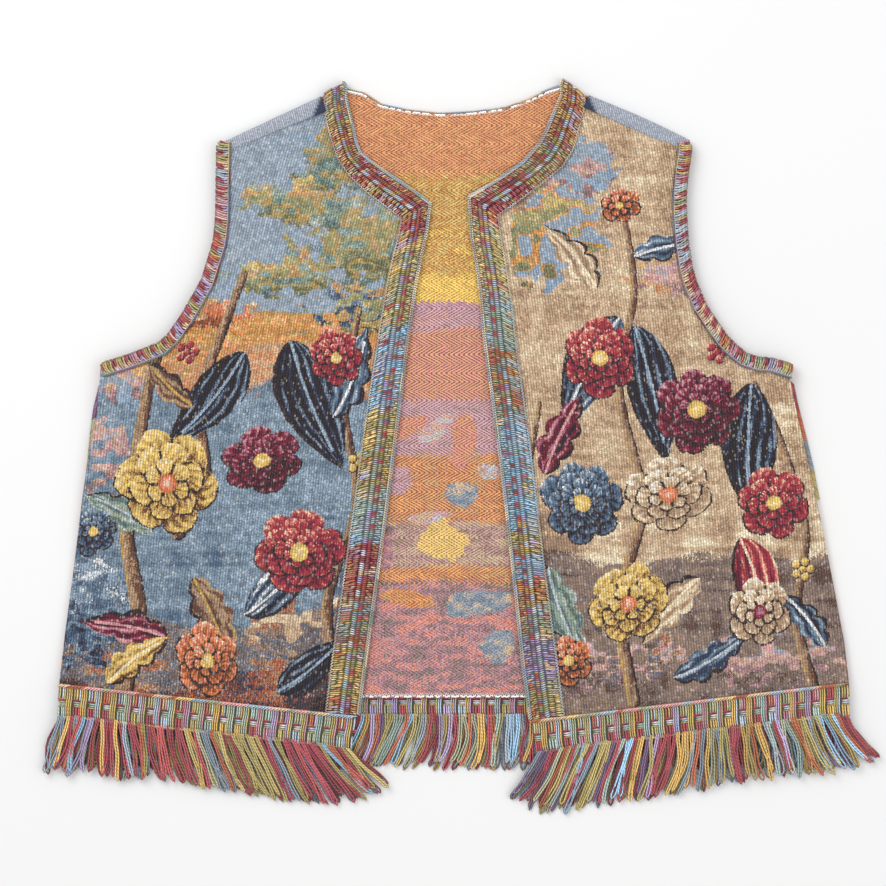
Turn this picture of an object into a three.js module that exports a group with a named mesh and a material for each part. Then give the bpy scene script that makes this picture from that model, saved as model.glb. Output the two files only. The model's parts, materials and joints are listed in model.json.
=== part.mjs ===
// Tapestry vest, laid flat on its back with the fronts open.
// Millimetres. +X is to the right of someone looking down at it, +Y towards the neck, +Z up from the surface.
// Left and right are the sides as that onlooker sees them.
import * as THREE from 'three';

// ---- driving dimensions ----
const CLOTH = 1.5; // thickness of the tapestry cloth
const BRAID = 2.2; // thickness of the flat braid at neck, fronts and hem
const BINDING = 1.4; // thickness of one leg of the folded armhole binding
const GAP = 0.3; // left between pieces that are sewn together
const BINDING_WIDTH = 10.5; // how far the folded binding reaches in from the armhole
const RIM = 2; // how far a braid stands out past the cut edge of the cloth
const HEADER_WIDTH = 24; // depth of the woven band that carries the hem fringe
const HEADER_LAP = 10; // how much of that band lies on the cloth
const FRINGE = 2.8; // thickness of the lying fringe
const SIDE_BRAID_WIDTH = 12;
const SIDE_BRAID_SLANT = 1; // how much lower its inner edge ends
const BACK_INSET = 0.8; // how far the back's side edges lie inside the fronts'
const FIELD_INSET = BINDING_WIDTH + 1; // the field of a front starts just inside the binding
const BRAID_START = 1.5 * GAP; // a neck braid starts this far above the hem band
const BINDING_LAP = 5; // an armhole binding runs on past the shoulder seam
const FRINGE_FLARE = 1.012; // the back's fringe is this much wider at its tips
// the binding's folded edge: reach inwards and rise, as shares of half its height
const BINDING_FOLD = [[0.5, 1], [0.15, 0.7]];

// ---- tables: each row is one section, from hem to shoulder ----
function table(columns, rows) {
  return rows.map((row) => Object.fromEntries(columns.map((name, i) => [name, row[i]])));
}

// side: finished side and armhole edge; trim: outer edge of the front braid; edge: free front and neck edge
const SECTION = ['sideX', 'sideY', 'trimX', 'trimY', 'edgeX', 'edgeY'];
const LEFT_FRONT = table(SECTION, [
  [-279.5, -175.3, -94.3, -195.0, -69.9, -197.8], // cut hem
  [-278.9, -165.0, -93.5, -185.0, -68.7, -187.6], // top of the hem band
  [-275.0, -130.0, -89.0, -148.0, -63.8, -150.5],
  [-269.0, -85.0, -82.7, -104.0, -57.6, -106.0],
  [-262.8, -35.0, -75.8, -55.0, -50.8, -57.0],
  [-257.6, 0.0, -69.3, -8.0, -45.0, -10.0],
  [-252.2, 24.0, -63.8, 32.0, -39.8, 30.5],
  [-250.3, 59.3, -59.0, 62.0, -36.2, 60.0], // underarm corner
  [-230.7, 65.3, -56.0, 82.0, -33.6, 81.0],
  [-206.6, 75.0, -53.2, 99.0, -31.2, 97.5],
  [-194.6, 91.8, -50.3, 116.0, -28.7, 114.0],
  [-180.1, 117.1, -46.8, 132.0, -25.2, 132.0],
  [-171.6, 144.9, -42.8, 147.0, -20.9, 152.0],
  [-170.0, 163.0, -40.5, 159.7, -18.6, 171.4], // corner of the neckline
  [-169.9, 174.0, -50.5, 167.5, -29.0, 179.3],
  [-169.8, 183.0, -64.9, 178.4, -48.0, 192.0],
  [-169.7, 191.0, -77.0, 190.0, -61.0, 201.0],
  [-169.6, 197.5, -84.6, 201.5, -67.6, 206.0],
  [-169.5, 202.0, -88.5, 212.0, -70.9, 215.0],
  [-169.4, 206.0, -92.0, 224.0, -74.0, 229.5],
  [-169.3, 209.3, -94.5, 236.6, -77.3, 243.2], // shoulder seam
]);
const RIGHT_FRONT = table(SECTION, [
  [273.2, -174.2, 75.2, -197.4, 49.9, -200.3],
  [272.7, -164.2, 74.4, -187.5, 48.7, -190.3],
  [269.6, -136.0, 69.5, -150.0, 43.6, -152.0],
  [262.5, -98.0, 63.3, -104.0, 38.9, -106.0],
  [253.8, -54.0, 57.2, -55.0, 33.7, -57.0],
  [243.8, -8.0, 51.7, -8.0, 28.3, -10.0],
  [236.9, 20.0, 46.5, 32.0, 23.0, 30.5],
  [230.0, 60.0, 42.0, 62.0, 18.9, 60.0],
  [220.0, 62.9, 39.8, 82.0, 16.3, 81.0],
  [203.9, 64.1, 38.0, 99.0, 15.0, 97.5],
  [189.5, 76.2, 35.8, 114.0, 13.6, 113.0],
  [173.8, 99.0, 33.5, 129.0, 11.0, 131.0],
  [164.7, 120.8, 31.2, 142.0, 7.9, 148.2],
  [161.0, 143.0, 28.3, 162.0, 6.2, 176.0],
  [160.0, 158.0, 37.0, 168.0, 19.0, 183.5],
  [159.4, 171.0, 47.0, 175.3, 31.0, 190.8],
  [159.8, 182.0, 55.5, 181.9, 44.0, 200.0],
  [160.8, 191.0, 72.9, 195.8, 55.5, 213.2],
  [161.8, 198.0, 80.5, 207.5, 60.8, 223.0],
  [162.8, 203.5, 84.5, 222.0, 64.8, 232.9],
  [163.6, 208.3, 89.0, 239.6, 71.0, 247.2],
]);
const UNDERARM_ROW = 7;
const LEFT_UNDERARM_END = [-251.5, 59.0]; // where the binding ends at the side seam
const RIGHT_UNDERARM_END = [235.8, 57.8];

// the fold where the back's cloth rolls over the shoulder, from armhole to neck
const LEFT_FOLD = [[-167.3, 212.3], [-157.0, 217.0], [-127.0, 230.6], [-97.4, 244.0], [-80.4, 251.7]];
const RIGHT_FOLD = [[161.6, 214.3], [152.5, 218.6], [122.0, 233.0], [90.4, 245.6], [74.4, 253.6]];
const FOLD_STARTS_AT = 1; // the first stretch of each fold is inside the binding
const BACK_NECK = [[-66.0, 246.9], [-54.3, 239.0], [-35.0, 235.1], [-13.0, 232.7], [10.0, 233.9],
  [33.3, 236.9], [50.0, 243.0], [62.0, 248.8]];
// the same edge, run on over both shoulders under the neck braids
const NECK_RUN = [[-95, 246], [-80, 254], ...BACK_NECK, [73, 256], [90, 247]];
const BACK_HEM_BAND = [[-279.0, -165.5], [272.8, -165.0]]; // its upper edge
// the braid round the back of the neck: neck edge and lower edge
const BACK_NECK_BRAID = table(['edgeX', 'edgeY', 'lowX', 'lowY'], [
  [-77.5, 251.6, -93.1, 244.2],
  [-65.4, 248.6, -77.0, 229.5],
  [-53.7, 240.7, -60.5, 219.0],
  [-34.7, 236.7, -37.0, 214.5],
  [-13.0, 234.4, -14.0, 212.2],
  [10.3, 235.6, 12.0, 213.4],
  [33.0, 238.6, 37.0, 216.4],
  [49.2, 244.6, 57.5, 223.0],
  [61.2, 250.5, 73.0, 231.0],
  [70.8, 253.9, 87.7, 243.7],
]);
// where the neck braid turns over the shoulder: highest line of the fold
const LEFT_PEAK = { edge: [-79.5, 256.8], trim: [-95.6, 249.0] };
const RIGHT_PEAK = { edge: [72.5, 259.0], trim: [90.4, 249.0] };

// tips of the fringe, from the side seam to the front edge, spread evenly along the hem band
const LEFT_FRINGE_ENDS = [[-291.5, -228.0], [-264.0, -232.0], [-235.0, -233.5], [-207.0, -234.6],
  [-184.0, -238.0], [-143.0, -244.0], [-119.0, -249.6], [-95.0, -252.0], [-70.0, -250.0], [-46.0, -238.0]];
const RIGHT_FRINGE_ENDS = [[292.5, -221.0], [270.8, -228.0], [242.0, -231.4], [220.0, -233.0],
  [198.7, -235.0], [177.5, -241.6], [146.0, -245.0], [113.8, -249.6], [82.0, -256.5], [56.0, -257.8],
  [33.0, -246.0]];
const BACK_FRINGE_END = -226.5;
const FRINGE_FALLS = { from: -233, to: -250 }; // past the back's fringe the front's comes down to the surface

const LEFT_SIDE_BRAID = [[-251.3, 45.4], [-255.6, 28.0], [-257.8, 12.0], [-259.6, -6.0], [-260.8, -18.0]];
const RIGHT_SIDE_BRAID = [[234.4, 46.2], [237.7, 30.0], [243.3, 8.0], [248.5, -14.0], [252.6, -36.0]];

// soft ridges in the fronts: middle, run along and across the ridge, height and direction in degrees
const RIDGES = table(['x', 'y', 'along', 'across', 'height', 'turn'], [
  [-232, -40, 90, 26, 1.5, 80],
  [-165, -70, 80, 32, 1.9, 97],
  [-118, 70, 70, 28, 1.2, 62],
  [-122, -110, 55, 24, 1.1, 104],
  [-125, 170, 34, 20, 0.9, 68],
  [212, -60, 85, 26, 1.6, 102],
  [150, -40, 80, 34, 1.8, 84],
  [100, 60, 75, 26, 1.3, 115],
  [112, -115, 50, 24, 1.0, 78],
  [118, 172, 34, 20, 0.9, 110],
]);

// ---- small tools ----
const clamp01 = (t) => Math.min(1, Math.max(0, t));
const smooth = (t) => clamp01(t) ** 2 * (3 - 2 * clamp01(t));
const mix = (a, b, t) => a + (b - a) * t;
const mixPoint = (p, q, t) => p.map((v, i) => mix(v, q[i], t));
const point3 = ([x, y], z) => new THREE.Vector3(x, y, z);

function distanceToPath(x, y, path) {
  let nearest = Infinity;
  for (let i = 1; i < path.length; i += 1) {
    const [ax, ay] = path[i - 1];
    const [bx, by] = path[i];
    const t = clamp01(((x - ax) * (bx - ax) + (y - ay) * (by - ay)) / ((bx - ax) ** 2 + (by - ay) ** 2));
    nearest = Math.min(nearest, Math.hypot(x - mix(ax, bx, t), y - mix(ay, by, t)));
  }
  return nearest;
}

function alongPath(path, share) {
  const lengths = path.slice(1).map((p, i) => Math.hypot(p[0] - path[i][0], p[1] - path[i][1]));
  let left = share * lengths.reduce((a, b) => a + b, 0);
  let i = 0;
  while (i < lengths.length - 1 && left > lengths[i]) {
    left -= lengths[i];
    i += 1;
  }
  return mixPoint(path[i], path[i + 1], left / lengths[i]);
}

// the horizontal direction at right angles to a path, on its right-hand side
function rightOf(path, i) {
  const before = path[Math.max(0, i - 1)];
  const after = path[Math.min(path.length - 1, i + 1)];
  const length = Math.hypot(after[0] - before[0], after[1] - before[1]);
  return [(after[1] - before[1]) / length, -(after[0] - before[0]) / length];
}

const moved = (p, direction, distance) => [p[0] + direction[0] * distance, p[1] + direction[1] * distance];

// ---- where the cloth lies ----
const leftArmhole = LEFT_FRONT.slice(UNDERARM_ROW).map((r) => [r.sideX, r.sideY]);
const rightArmhole = RIGHT_FRONT.slice(UNDERARM_ROW).map((r) => [r.sideX, r.sideY]);

// what lies under or over an edge of the cloth and lifts it: full height up to `flat` from the path,
// and none from `run` further on
const UNDER_BACK = [
  { path: NECK_RUN,height: BRAID + GAP, flat: 26, run: 42 },
  { path: leftArmhole, height: BINDING + GAP, flat: 14, run: 36 },
  { path: rightArmhole, height: BINDING + GAP, flat: 14, run: 36 },
  { path: LEFT_SIDE_BRAID, height: BINDING + GAP, flat: 13, run: 36 },
  { path: RIGHT_SIDE_BRAID, height: BINDING + GAP, flat: 13, run: 36 },
];
const HEM_LIFT = { height: BRAID + GAP, top: -160, run: 42 };
const BLEND = 4; // how sharply the highest of several lifts wins

const liftNear = ({ path, height, flat, run }, x, y) =>
  height * smooth(1 - (distanceToPath(x, y, path) - flat) / run);

function backLift(x, y) {
  const hem = HEM_LIFT.height * smooth(1 - (y - HEM_LIFT.top) / HEM_LIFT.run);
  const lifts = [hem, ...UNDER_BACK.map((item) => liftNear(item, x, y))];
  return lifts.reduce((sum, h) => sum + h ** BLEND, 0) ** (1 / BLEND);
}

function ridges(x, y) {
  return RIDGES.reduce((sum, r) => {
    const turn = THREE.MathUtils.degToRad(r.turn);
    const along = (x - r.x) * Math.cos(turn) + (y - r.y) * Math.sin(turn);
    const across = (y - r.y) * Math.cos(turn) - (x - r.x) * Math.sin(turn);
    return sum + r.height * Math.exp(-((along / r.along) ** 2) - (across / r.across) ** 2);
  }, 0);
}

const backMiddle = (x, y) => backLift(x, y) + CLOTH / 2;
const FRONT_OVER = 2 * (BINDING + GAP); // two legs of binding lie between back and front at an armhole

function frontMiddle(x, y) {
  const armholes = [leftArmhole, rightArmhole].map((path) =>
    liftNear({ path, height: FRONT_OVER, flat: 24, run: 60 }, x, y));
  return backMiddle(x, y) + CLOTH + GAP + Math.max(...armholes) + ridges(x, y);
}

// ---- closed solids from sheets of points ----
// A sheet is a list of grids that share the points where they meet; each grid is rows of points.
function normalsOf(grids) {
  const sums = new Map();
  const key = (p) => `${p.x.toFixed(3)},${p.y.toFixed(3)},${p.z.toFixed(3)}`;
  const faces = [];
  for (const grid of grids) {
    for (let i = 1; i < grid.length; i += 1) {
      for (let j = 1; j < grid[i].length; j += 1) {
        const [a, b, c, d] = [grid[i - 1][j - 1], grid[i - 1][j], grid[i][j], grid[i][j - 1]];
        faces.push([a, b, c], [a, c, d]);
      }
    }
  }
  for (const [a, b, c] of faces) {
    const normal = b.clone().sub(a).cross(c.clone().sub(a));
    for (const p of [a, b, c]) {
      if (!sums.has(key(p))) {
        sums.set(key(p), { point: p, normal: new THREE.Vector3() });
      }
      sums.get(key(p)).normal.add(normal);
    }
  }
  sums.forEach((entry) => entry.normal.normalize());
  return { faces, at: (p) => sums.get(key(p)).normal, keys: [...sums.keys()], key, sums };
}

function sheetGeometry(grids, thickness) {
  const { faces, keys, key, sums } = normalsOf(grids);
  const number = new Map(keys.map((name, i) => [name, i]));
  const positions = [];
  for (const side of [1, -1]) {
    for (const { point, normal } of sums.values()) {
      positions.push(...point.clone().addScaledVector(normal, (side * thickness) / 2).toArray());
    }
  }
  const index = [];
  const edges = new Map();
  for (const face of faces) {
    const [a, b, c] = face.map((p) => number.get(key(p)));
    const under = number.size;
    index.push(a, b, c, a + under, c + under, b + under);
    for (const [from, to] of [[a, b], [b, c], [c, a]]) {
      edges.set(`${from}-${to}`, [from, to]);
    }
  }
  for (const [from, to] of edges.values()) {
    if (!edges.has(`${to}-${from}`)) {
      index.push(from, from + number.size, to, to, from + number.size, to + number.size);
    }
  }
  const geometry = new THREE.BufferGeometry();
  geometry.setAttribute('position', new THREE.Float32BufferAttribute(positions, 3));
  geometry.setIndex(index);
  geometry.computeVertexNormals();
  return geometry;
}

// rings of the same number of points, joined in order and capped at both ends
function ringsGeometry(rings) {
  const count = rings[0].length;
  const positions = rings.flat().flatMap((p) => p.toArray());
  const index = [];
  for (let i = 1; i < rings.length; i += 1) {
    for (let j = 0; j < count; j += 1) {
      const [a, b] = [(i - 1) * count + j, (i - 1) * count + ((j + 1) % count)];
      index.push(a, a + count, b, b, a + count, b + count);
    }
  }
  const outline = rings.capOutline;
  const last = (rings.length - 1) * count;
  for (const corners of THREE.ShapeUtils.triangulateShape(outline, [])) {
    const sameWay = THREE.ShapeUtils.area(corners.map((k) => outline[k])) * THREE.ShapeUtils.area(outline) > 0;
    const [a, b, c] = sameWay ? corners : [...corners].reverse();
    index.push(a, b, c, last + c, last + b, last + a);
  }
  const geometry = new THREE.BufferGeometry();
  geometry.setAttribute('position', new THREE.Float32BufferAttribute(positions, 3));
  geometry.setIndex(index);
  geometry.computeVertexNormals();
  return geometry;
}

const facingUp = (grid) => {
  const [a, b, c] = [grid[0][0], grid[0][1], grid[1][0]];
  const up = b.clone().sub(a).cross(c.clone().sub(a)).z > 0;
  return up ? grid : grid.map((row) => [...row].reverse());
};

// ---- panels ----
const PANEL_COLUMNS = 8; // between the binding's inner edge and the braid

// the cut edge of the cloth at the side seam and, inside the binding, at the armhole
function cutSide(rows, sideInset = 0) {
  const side = rows.map((r) => [r.sideX, r.sideY]);
  const inward = Math.sign(rows[0].edgeX - rows[0].sideX);
  return side.map((p, i) => {
    const atArmhole = i >= UNDERARM_ROW;
    const stretch = atArmhole ? side.slice(UNDERARM_ROW) : side.slice(0, UNDERARM_ROW);
    const way = rightOf(stretch, atArmhole ? i - UNDERARM_ROW : i).map((v) => v * inward);
    const cut = moved(p, way, atArmhole ? BINDING + 3 * GAP : sideInset);
    return { cut, bound: moved(p, way, FIELD_INSET) };
  });
}

// a front's cloth: columns are side edge, binding's inner edge, the field, braid's outer edge, its middle, cut edge
function frontGrid(rows) {
  const sides = cutSide(rows);
  return rows.map((row, i) => {
    const { cut, bound } = sides[i];
    const trim = [row.trimX, row.trimY];
    const edge = [row.edgeX, row.edgeY];
    const width = Math.hypot(edge[0] - trim[0], edge[1] - trim[1]);
    const field = Array.from({ length: PANEL_COLUMNS }, (_, k) => mixPoint(bound, trim, k / PANEL_COLUMNS));
    const points = [cut, ...field, trim, mixPoint(trim, edge, 0.5), mixPoint(edge, trim, RIM / width)];
    return points.map((p) => point3(p, frontMiddle(...p)));
  });
}

const FLAP_STEPS = 6;

// the back's cloth rolls over the shoulder and comes forward to the seam
function shoulderFlap(fold, seamStart, seamEnd) {
  const rolled = fold.slice(FOLD_STARTS_AT);
  const columns = rolled.map((p, i) => {
    const across = rightOf(rolled, i);
    const down = across[1] < 0 ? across : across.map((v) => -v);
    const low = backMiddle(...p);
    const radius = (frontMiddle(...p) - low) / 2;
    const centre = moved(p, down, radius + CLOTH / 2);
    const arc = Array.from({ length: FLAP_STEPS + 1 }, (_, k) => {
      const angle = Math.PI * (k / FLAP_STEPS - 0.5);
      return point3(moved(centre, down, -radius * Math.cos(angle)), low + radius + radius * Math.sin(angle));
    });
    const t = (p[0] - seamStart[0]) / (seamEnd[0] - seamStart[0]);
    const seam = mixPoint(seamStart, seamEnd, t);
    const end = moved(seam, down, -2 * GAP);
    return { foot: arc[0], path: [...arc, point3(end, low + 2 * radius)] };
  });
  const depth = columns[0].path.length;
  return {
    feet: columns.map((c) => c.foot),
    grid: Array.from({ length: depth }, (_, k) => columns.map((c) => c.path[k])),
  };
}

const STRAIGHT_ROWS = 14; // above them the back's sections bend up to the neck and shoulders

// the back lies under both fronts, from side seam to side seam
function backGrids(leftFlap, rightFlap) {
  const left = cutSide(LEFT_FRONT, BACK_INSET).map((s) => s.cut);
  const right = cutSide(RIGHT_FRONT, BACK_INSET).map((s) => s.cut);
  const last = left.length - 1;
  const top = [point3(left[last], 0), ...leftFlap.feet, ...BACK_NECK.map((p) => point3(p, 0)),
    ...[...rightFlap.feet].reverse(), point3(right[last], 0)];
  const shares = top.map((p) => (p.x - top[0].x) / (top[top.length - 1].x - top[0].x));
  const straight = (i) => shares.map((t) => mixPoint(left[i], right[i], t));
  const plan = left.map((_, i) => {
    if (i < STRAIGHT_ROWS) {
      return straight(i);
    }
    const t = (i - STRAIGHT_ROWS + 1) / (last - STRAIGHT_ROWS + 1);
    const bent = straight(STRAIGHT_ROWS - 1).map((p, j) => mixPoint(p, [top[j].x, top[j].y], t));
    return [left[i], ...bent.slice(1, -1), right[i]];
  });
  const grid = plan.map((row) => row.map((p) => point3(p, backMiddle(...p))));
  grid[last] = grid[last].map((p, j) => (top[j].z ? top[j] : p));
  return [grid, leftFlap.grid, rightFlap.grid.map((row) => [...row].reverse())];
}

// ---- trims made from the cloth's own points, moved out ----
const lifted = (panel, thickness) => {
  const normals = normalsOf([panel]);
  const distance = CLOTH / 2 + GAP + thickness / 2;
  return panel.map((row) => row.map((p) => {
    const normal = normals.at(p);
    return p.clone().addScaledVector(normal, distance * Math.sign(normal.z));
  }));
};

const sameHeight = ([x, y], like) => new THREE.Vector3(x, y, like.z);

// a front's neck braid: up the free edge, over the shoulder and down to the surface behind it
function neckBraidGrid(panel, rows, peak) {
  const onCloth = lifted(panel, BRAID);
  const grid = rows.slice(1).map((row, i) => {
    const strip = onCloth[i + 1].slice(-3);
    return [...strip, sameHeight([row.edgeX, row.edgeY], strip[2])];
  });
  const start = BRAID_START / (rows[2].edgeY - rows[1].edgeY);
  grid[0] = grid[0].map((p, j) => p.clone().lerp(grid[1][j], start));
  const top = grid[grid.length - 1];
  const low = BRAID / 2;
  const along = [peak.edge[0] - peak.trim[0], peak.edge[1] - peak.trim[1]];
  const length = Math.hypot(...along);
  const down = [along[1] / length, -along[0] / length].map((v) => v * Math.sign(along[0]));
  const shares = [0, 0.5, 1 - RIM / length, 1];
  for (let k = FLAP_STEPS; k >= 0; k -= 1) {
    grid.push(shares.map((t, j) => {
      const radius = (top[j].z - low) / 2;
      const centre = moved(mixPoint(peak.trim, peak.edge, t), down, radius + BRAID / 2);
      const angle = Math.PI * (k / FLAP_STEPS - 0.5);
      return point3(moved(centre, down, -radius * Math.cos(angle)), low + radius + radius * Math.sin(angle));
    }));
  }
  return grid;
}

function headerGrid(panel) {
  const onCloth = lifted(panel, BRAID);
  const [cut, top] = [onCloth[0], onCloth[1]];
  const stretch = (HEADER_WIDTH - HEADER_LAP) / HEADER_LAP;
  const free = cut.map((p, j) => p.clone().addScaledVector(p.clone().sub(top[j]).setZ(0), stretch));
  return [free, cut, top];
}

const FRINGE_ROWS = 5;

function frontFringeGrid(header, ends) {
  const roots = header[0];
  const lying = (y) => {
    const onBackFringe = FRINGE + 2 * GAP + FRINGE / 2;
    const fall = smooth((y - FRINGE_FALLS.to) / (FRINGE_FALLS.from - FRINGE_FALLS.to));
    return mix((FRINGE + GAP) / 2, onBackFringe, fall);
  };
  return Array.from({ length: FRINGE_ROWS + 1 }, (_, k) => roots.map((root, j) => {
    const share = j / (roots.length - 1);
    const start = [root.x, root.y - 2 * GAP];
    const [x, y] = mixPoint(start, alongPath(ends, share), k / FRINGE_ROWS);
    return point3([x, y], mix(root.z, lying(y), smooth((2 * k) / FRINGE_ROWS)));
  }));
}

const flatGrid = (stations, z) => stations.map((row) => row.map((p) => point3(p, z)));

// the folded armhole binding: a U round the edge of the cloth, open towards the panel
function bindingRings(path, inwardSign, middle) {
  const outer = CLOTH / 2 + GAP + BINDING;
  const inner = CLOTH / 2 + GAP;
  const foldOver = (side) => BINDING_FOLD.map(([reach, rise]) => [outer * reach, side * outer * rise]);
  const section = [[BINDING_WIDTH, -outer], ...foldOver(-1), [0, 0], ...foldOver(1).reverse(),
    [BINDING_WIDTH, outer], [BINDING_WIDTH, inner], [BINDING + GAP, inner], [BINDING + GAP, -inner],
    [BINDING_WIDTH, -inner]];
  const rings = path.map((p, i) => {
    const way = rightOf(path, i).map((v) => v * inwardSign);
    const ring = section.map(([reach, rise]) => {
      const at = moved(p, way, reach);
      return point3(at, middle(...at) + rise);
    });
    return inwardSign > 0 ? ring.reverse() : ring;
  });
  rings.capOutline = section.map(([u, v]) => new THREE.Vector2(u, v));
  if (inwardSign > 0) {
    rings.capOutline.reverse();
  }
  return rings;
}

const BINDING_STEPS = 22;
const steps = (path, count) => Array.from({ length: count + 1 }, (_, k) => alongPath(path, k / count));

// ---- the vest ----
const finish = (colour, roughness = 0.9) =>
  new THREE.MeshStandardMaterial({ color: colour, roughness, metalness: 0, side: THREE.DoubleSide });
const tapestry = { left: finish(0x8f9aa0), right: finish(0xa9947c), back: finish(0xd98a5a) };
const trimmings = { braid: finish(0x8d7f5a), binding: finish(0x9a5a58), fringe: finish(0x7d6f63, 1) };

const vest = new THREE.Group();
vest.name = 'tapestry_vest';

function add(name, geometry, material) {
  const mesh = new THREE.Mesh(geometry, material);
  mesh.name = name;
  vest.add(mesh);
}

function addFront(name, rows, peak, fringeEnds) {
  const panel = frontGrid(rows);
  const header = headerGrid(panel);
  add(`front_${name}`, sheetGeometry([facingUp(panel)], CLOTH), tapestry[name]);
  add(`neck_braid_${name}`, sheetGeometry([facingUp(neckBraidGrid(panel, rows, peak))], BRAID), trimmings.braid);
  add(`hem_band_front_${name}`, sheetGeometry([facingUp(header)], BRAID), trimmings.braid);
  add(`fringe_front_${name}`, sheetGeometry([facingUp(frontFringeGrid(header, fringeEnds))], FRINGE),
    trimmings.fringe);
}

addFront('left', LEFT_FRONT, LEFT_PEAK, LEFT_FRINGE_ENDS);
addFront('right', RIGHT_FRONT, RIGHT_PEAK, RIGHT_FRINGE_ENDS);

const seamOf = (rows) => {
  const { sideX, sideY, edgeX, edgeY } = rows[rows.length - 1];
  return [[sideX, sideY], [edgeX, edgeY]];
};
const leftFlap = shoulderFlap(LEFT_FOLD, ...seamOf(LEFT_FRONT));
const rightFlap = shoulderFlap(RIGHT_FOLD, ...seamOf(RIGHT_FRONT));
add('back_panel', sheetGeometry(backGrids(leftFlap, rightFlap), CLOTH), tapestry.back);

const backBraid = BACK_NECK_BRAID.map((r) => [[r.lowX, r.lowY], [r.edgeX, r.edgeY]]);
add('neck_braid_back', sheetGeometry([facingUp(flatGrid(backBraid, BRAID / 2))], BRAID), trimmings.braid);

const HEM_BAND_STEPS = 12;
const bandLine = (drop) => steps(BACK_HEM_BAND, HEM_BAND_STEPS).map(([x, y]) => [x, y - drop]);
add('hem_band_back', sheetGeometry([facingUp(flatGrid([bandLine(HEADER_WIDTH), bandLine(0)], BRAID / 2))], BRAID),
  trimmings.braid);
const backTips = bandLine(0).map(([x]) => [x * FRINGE_FLARE, BACK_FRINGE_END]);
add('fringe_back', sheetGeometry([facingUp(flatGrid([backTips, bandLine(HEADER_WIDTH + GAP)], FRINGE / 2))], FRINGE),
  trimmings.fringe);

for (const [name, armhole, end, sign] of [['left', leftArmhole, LEFT_UNDERARM_END, 1],
  ['right', rightArmhole, RIGHT_UNDERARM_END, -1]]) {
  const last = armhole[armhole.length - 1];
  const path = steps([end, ...armhole.slice(1), [last[0], last[1] + BINDING_LAP]], BINDING_STEPS);
  add(`armhole_binding_front_${name}`, ringsGeometry(bindingRings(path, sign, frontMiddle)), trimmings.binding);
  add(`armhole_binding_back_${name}`, ringsGeometry(bindingRings(path, sign, backMiddle)), trimmings.binding);
}

for (const [name, path] of [['left', LEFT_SIDE_BRAID], ['right', RIGHT_SIDE_BRAID]]) {
  const inward = name === 'left' ? 1 : -1;
  const strip = path.map(([x, y]) => [[x, y], [x + inward * SIDE_BRAID_WIDTH, y - SIDE_BRAID_SLANT]]);
  add(`side_braid_${name}`, sheetGeometry([facingUp(flatGrid(strip, BINDING / 2))], BINDING), trimmings.binding);
}

// the middle of the vest's footprint is the origin
const box = new THREE.Box3().setFromObject(vest);
const footprint = box.getCenter(new THREE.Vector3());
vest.position.set(-footprint.x, -footprint.y, -box.min.z);
vest.updateMatrixWorld(true);

export default vest;
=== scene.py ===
"""Looks of a tapestry vest that lies flat with its fronts open."""

from __future__ import annotations

import json
import logging
import math
from dataclasses import dataclass, field, replace
from enum import Enum
from typing import Iterable, Sequence

import bmesh
import bpy
import numpy as np
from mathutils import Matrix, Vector
from mathutils.bvhtree import BVHTree

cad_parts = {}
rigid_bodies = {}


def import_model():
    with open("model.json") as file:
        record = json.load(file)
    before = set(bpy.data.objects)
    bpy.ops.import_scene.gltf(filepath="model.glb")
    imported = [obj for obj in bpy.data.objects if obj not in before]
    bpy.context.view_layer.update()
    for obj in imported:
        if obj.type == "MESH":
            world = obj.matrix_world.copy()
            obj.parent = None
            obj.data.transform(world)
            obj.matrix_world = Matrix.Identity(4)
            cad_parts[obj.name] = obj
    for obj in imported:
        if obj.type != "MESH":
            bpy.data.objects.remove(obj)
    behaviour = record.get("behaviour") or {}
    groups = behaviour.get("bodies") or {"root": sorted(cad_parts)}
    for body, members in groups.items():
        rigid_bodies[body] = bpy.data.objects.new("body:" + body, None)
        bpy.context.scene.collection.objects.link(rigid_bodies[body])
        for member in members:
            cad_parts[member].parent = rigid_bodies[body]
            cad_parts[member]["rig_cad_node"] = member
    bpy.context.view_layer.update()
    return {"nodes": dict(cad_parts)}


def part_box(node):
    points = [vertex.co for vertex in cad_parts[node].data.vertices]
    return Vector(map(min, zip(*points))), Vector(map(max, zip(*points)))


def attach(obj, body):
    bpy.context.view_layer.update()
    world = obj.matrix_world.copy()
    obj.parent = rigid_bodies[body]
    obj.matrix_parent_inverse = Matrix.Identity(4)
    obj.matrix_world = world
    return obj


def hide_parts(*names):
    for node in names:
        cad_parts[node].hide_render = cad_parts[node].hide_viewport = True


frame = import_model()

LOG = logging.getLogger("vest")
MM = 0.001
BODY = "root"
TURN = 2 * math.pi

Array = np.ndarray
Pair = tuple[float, float, float, float]


# ---------------------------------------------------------------- yarns


def linear(rgb: Sequence[float]) -> tuple[float, float, float]:
    """Turns a display colour of 0 to 255 into linear light.

    Args:
        rgb: red, green and blue, 0 to 255.

    Returns:
        The three linear values, 0 to 1.
    """
    parts = [c / 255 for c in rgb]
    return tuple(c / 12.92 if c <= 0.04045 else ((c + 0.055) / 1.055) ** 2.4 for c in parts)


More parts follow.
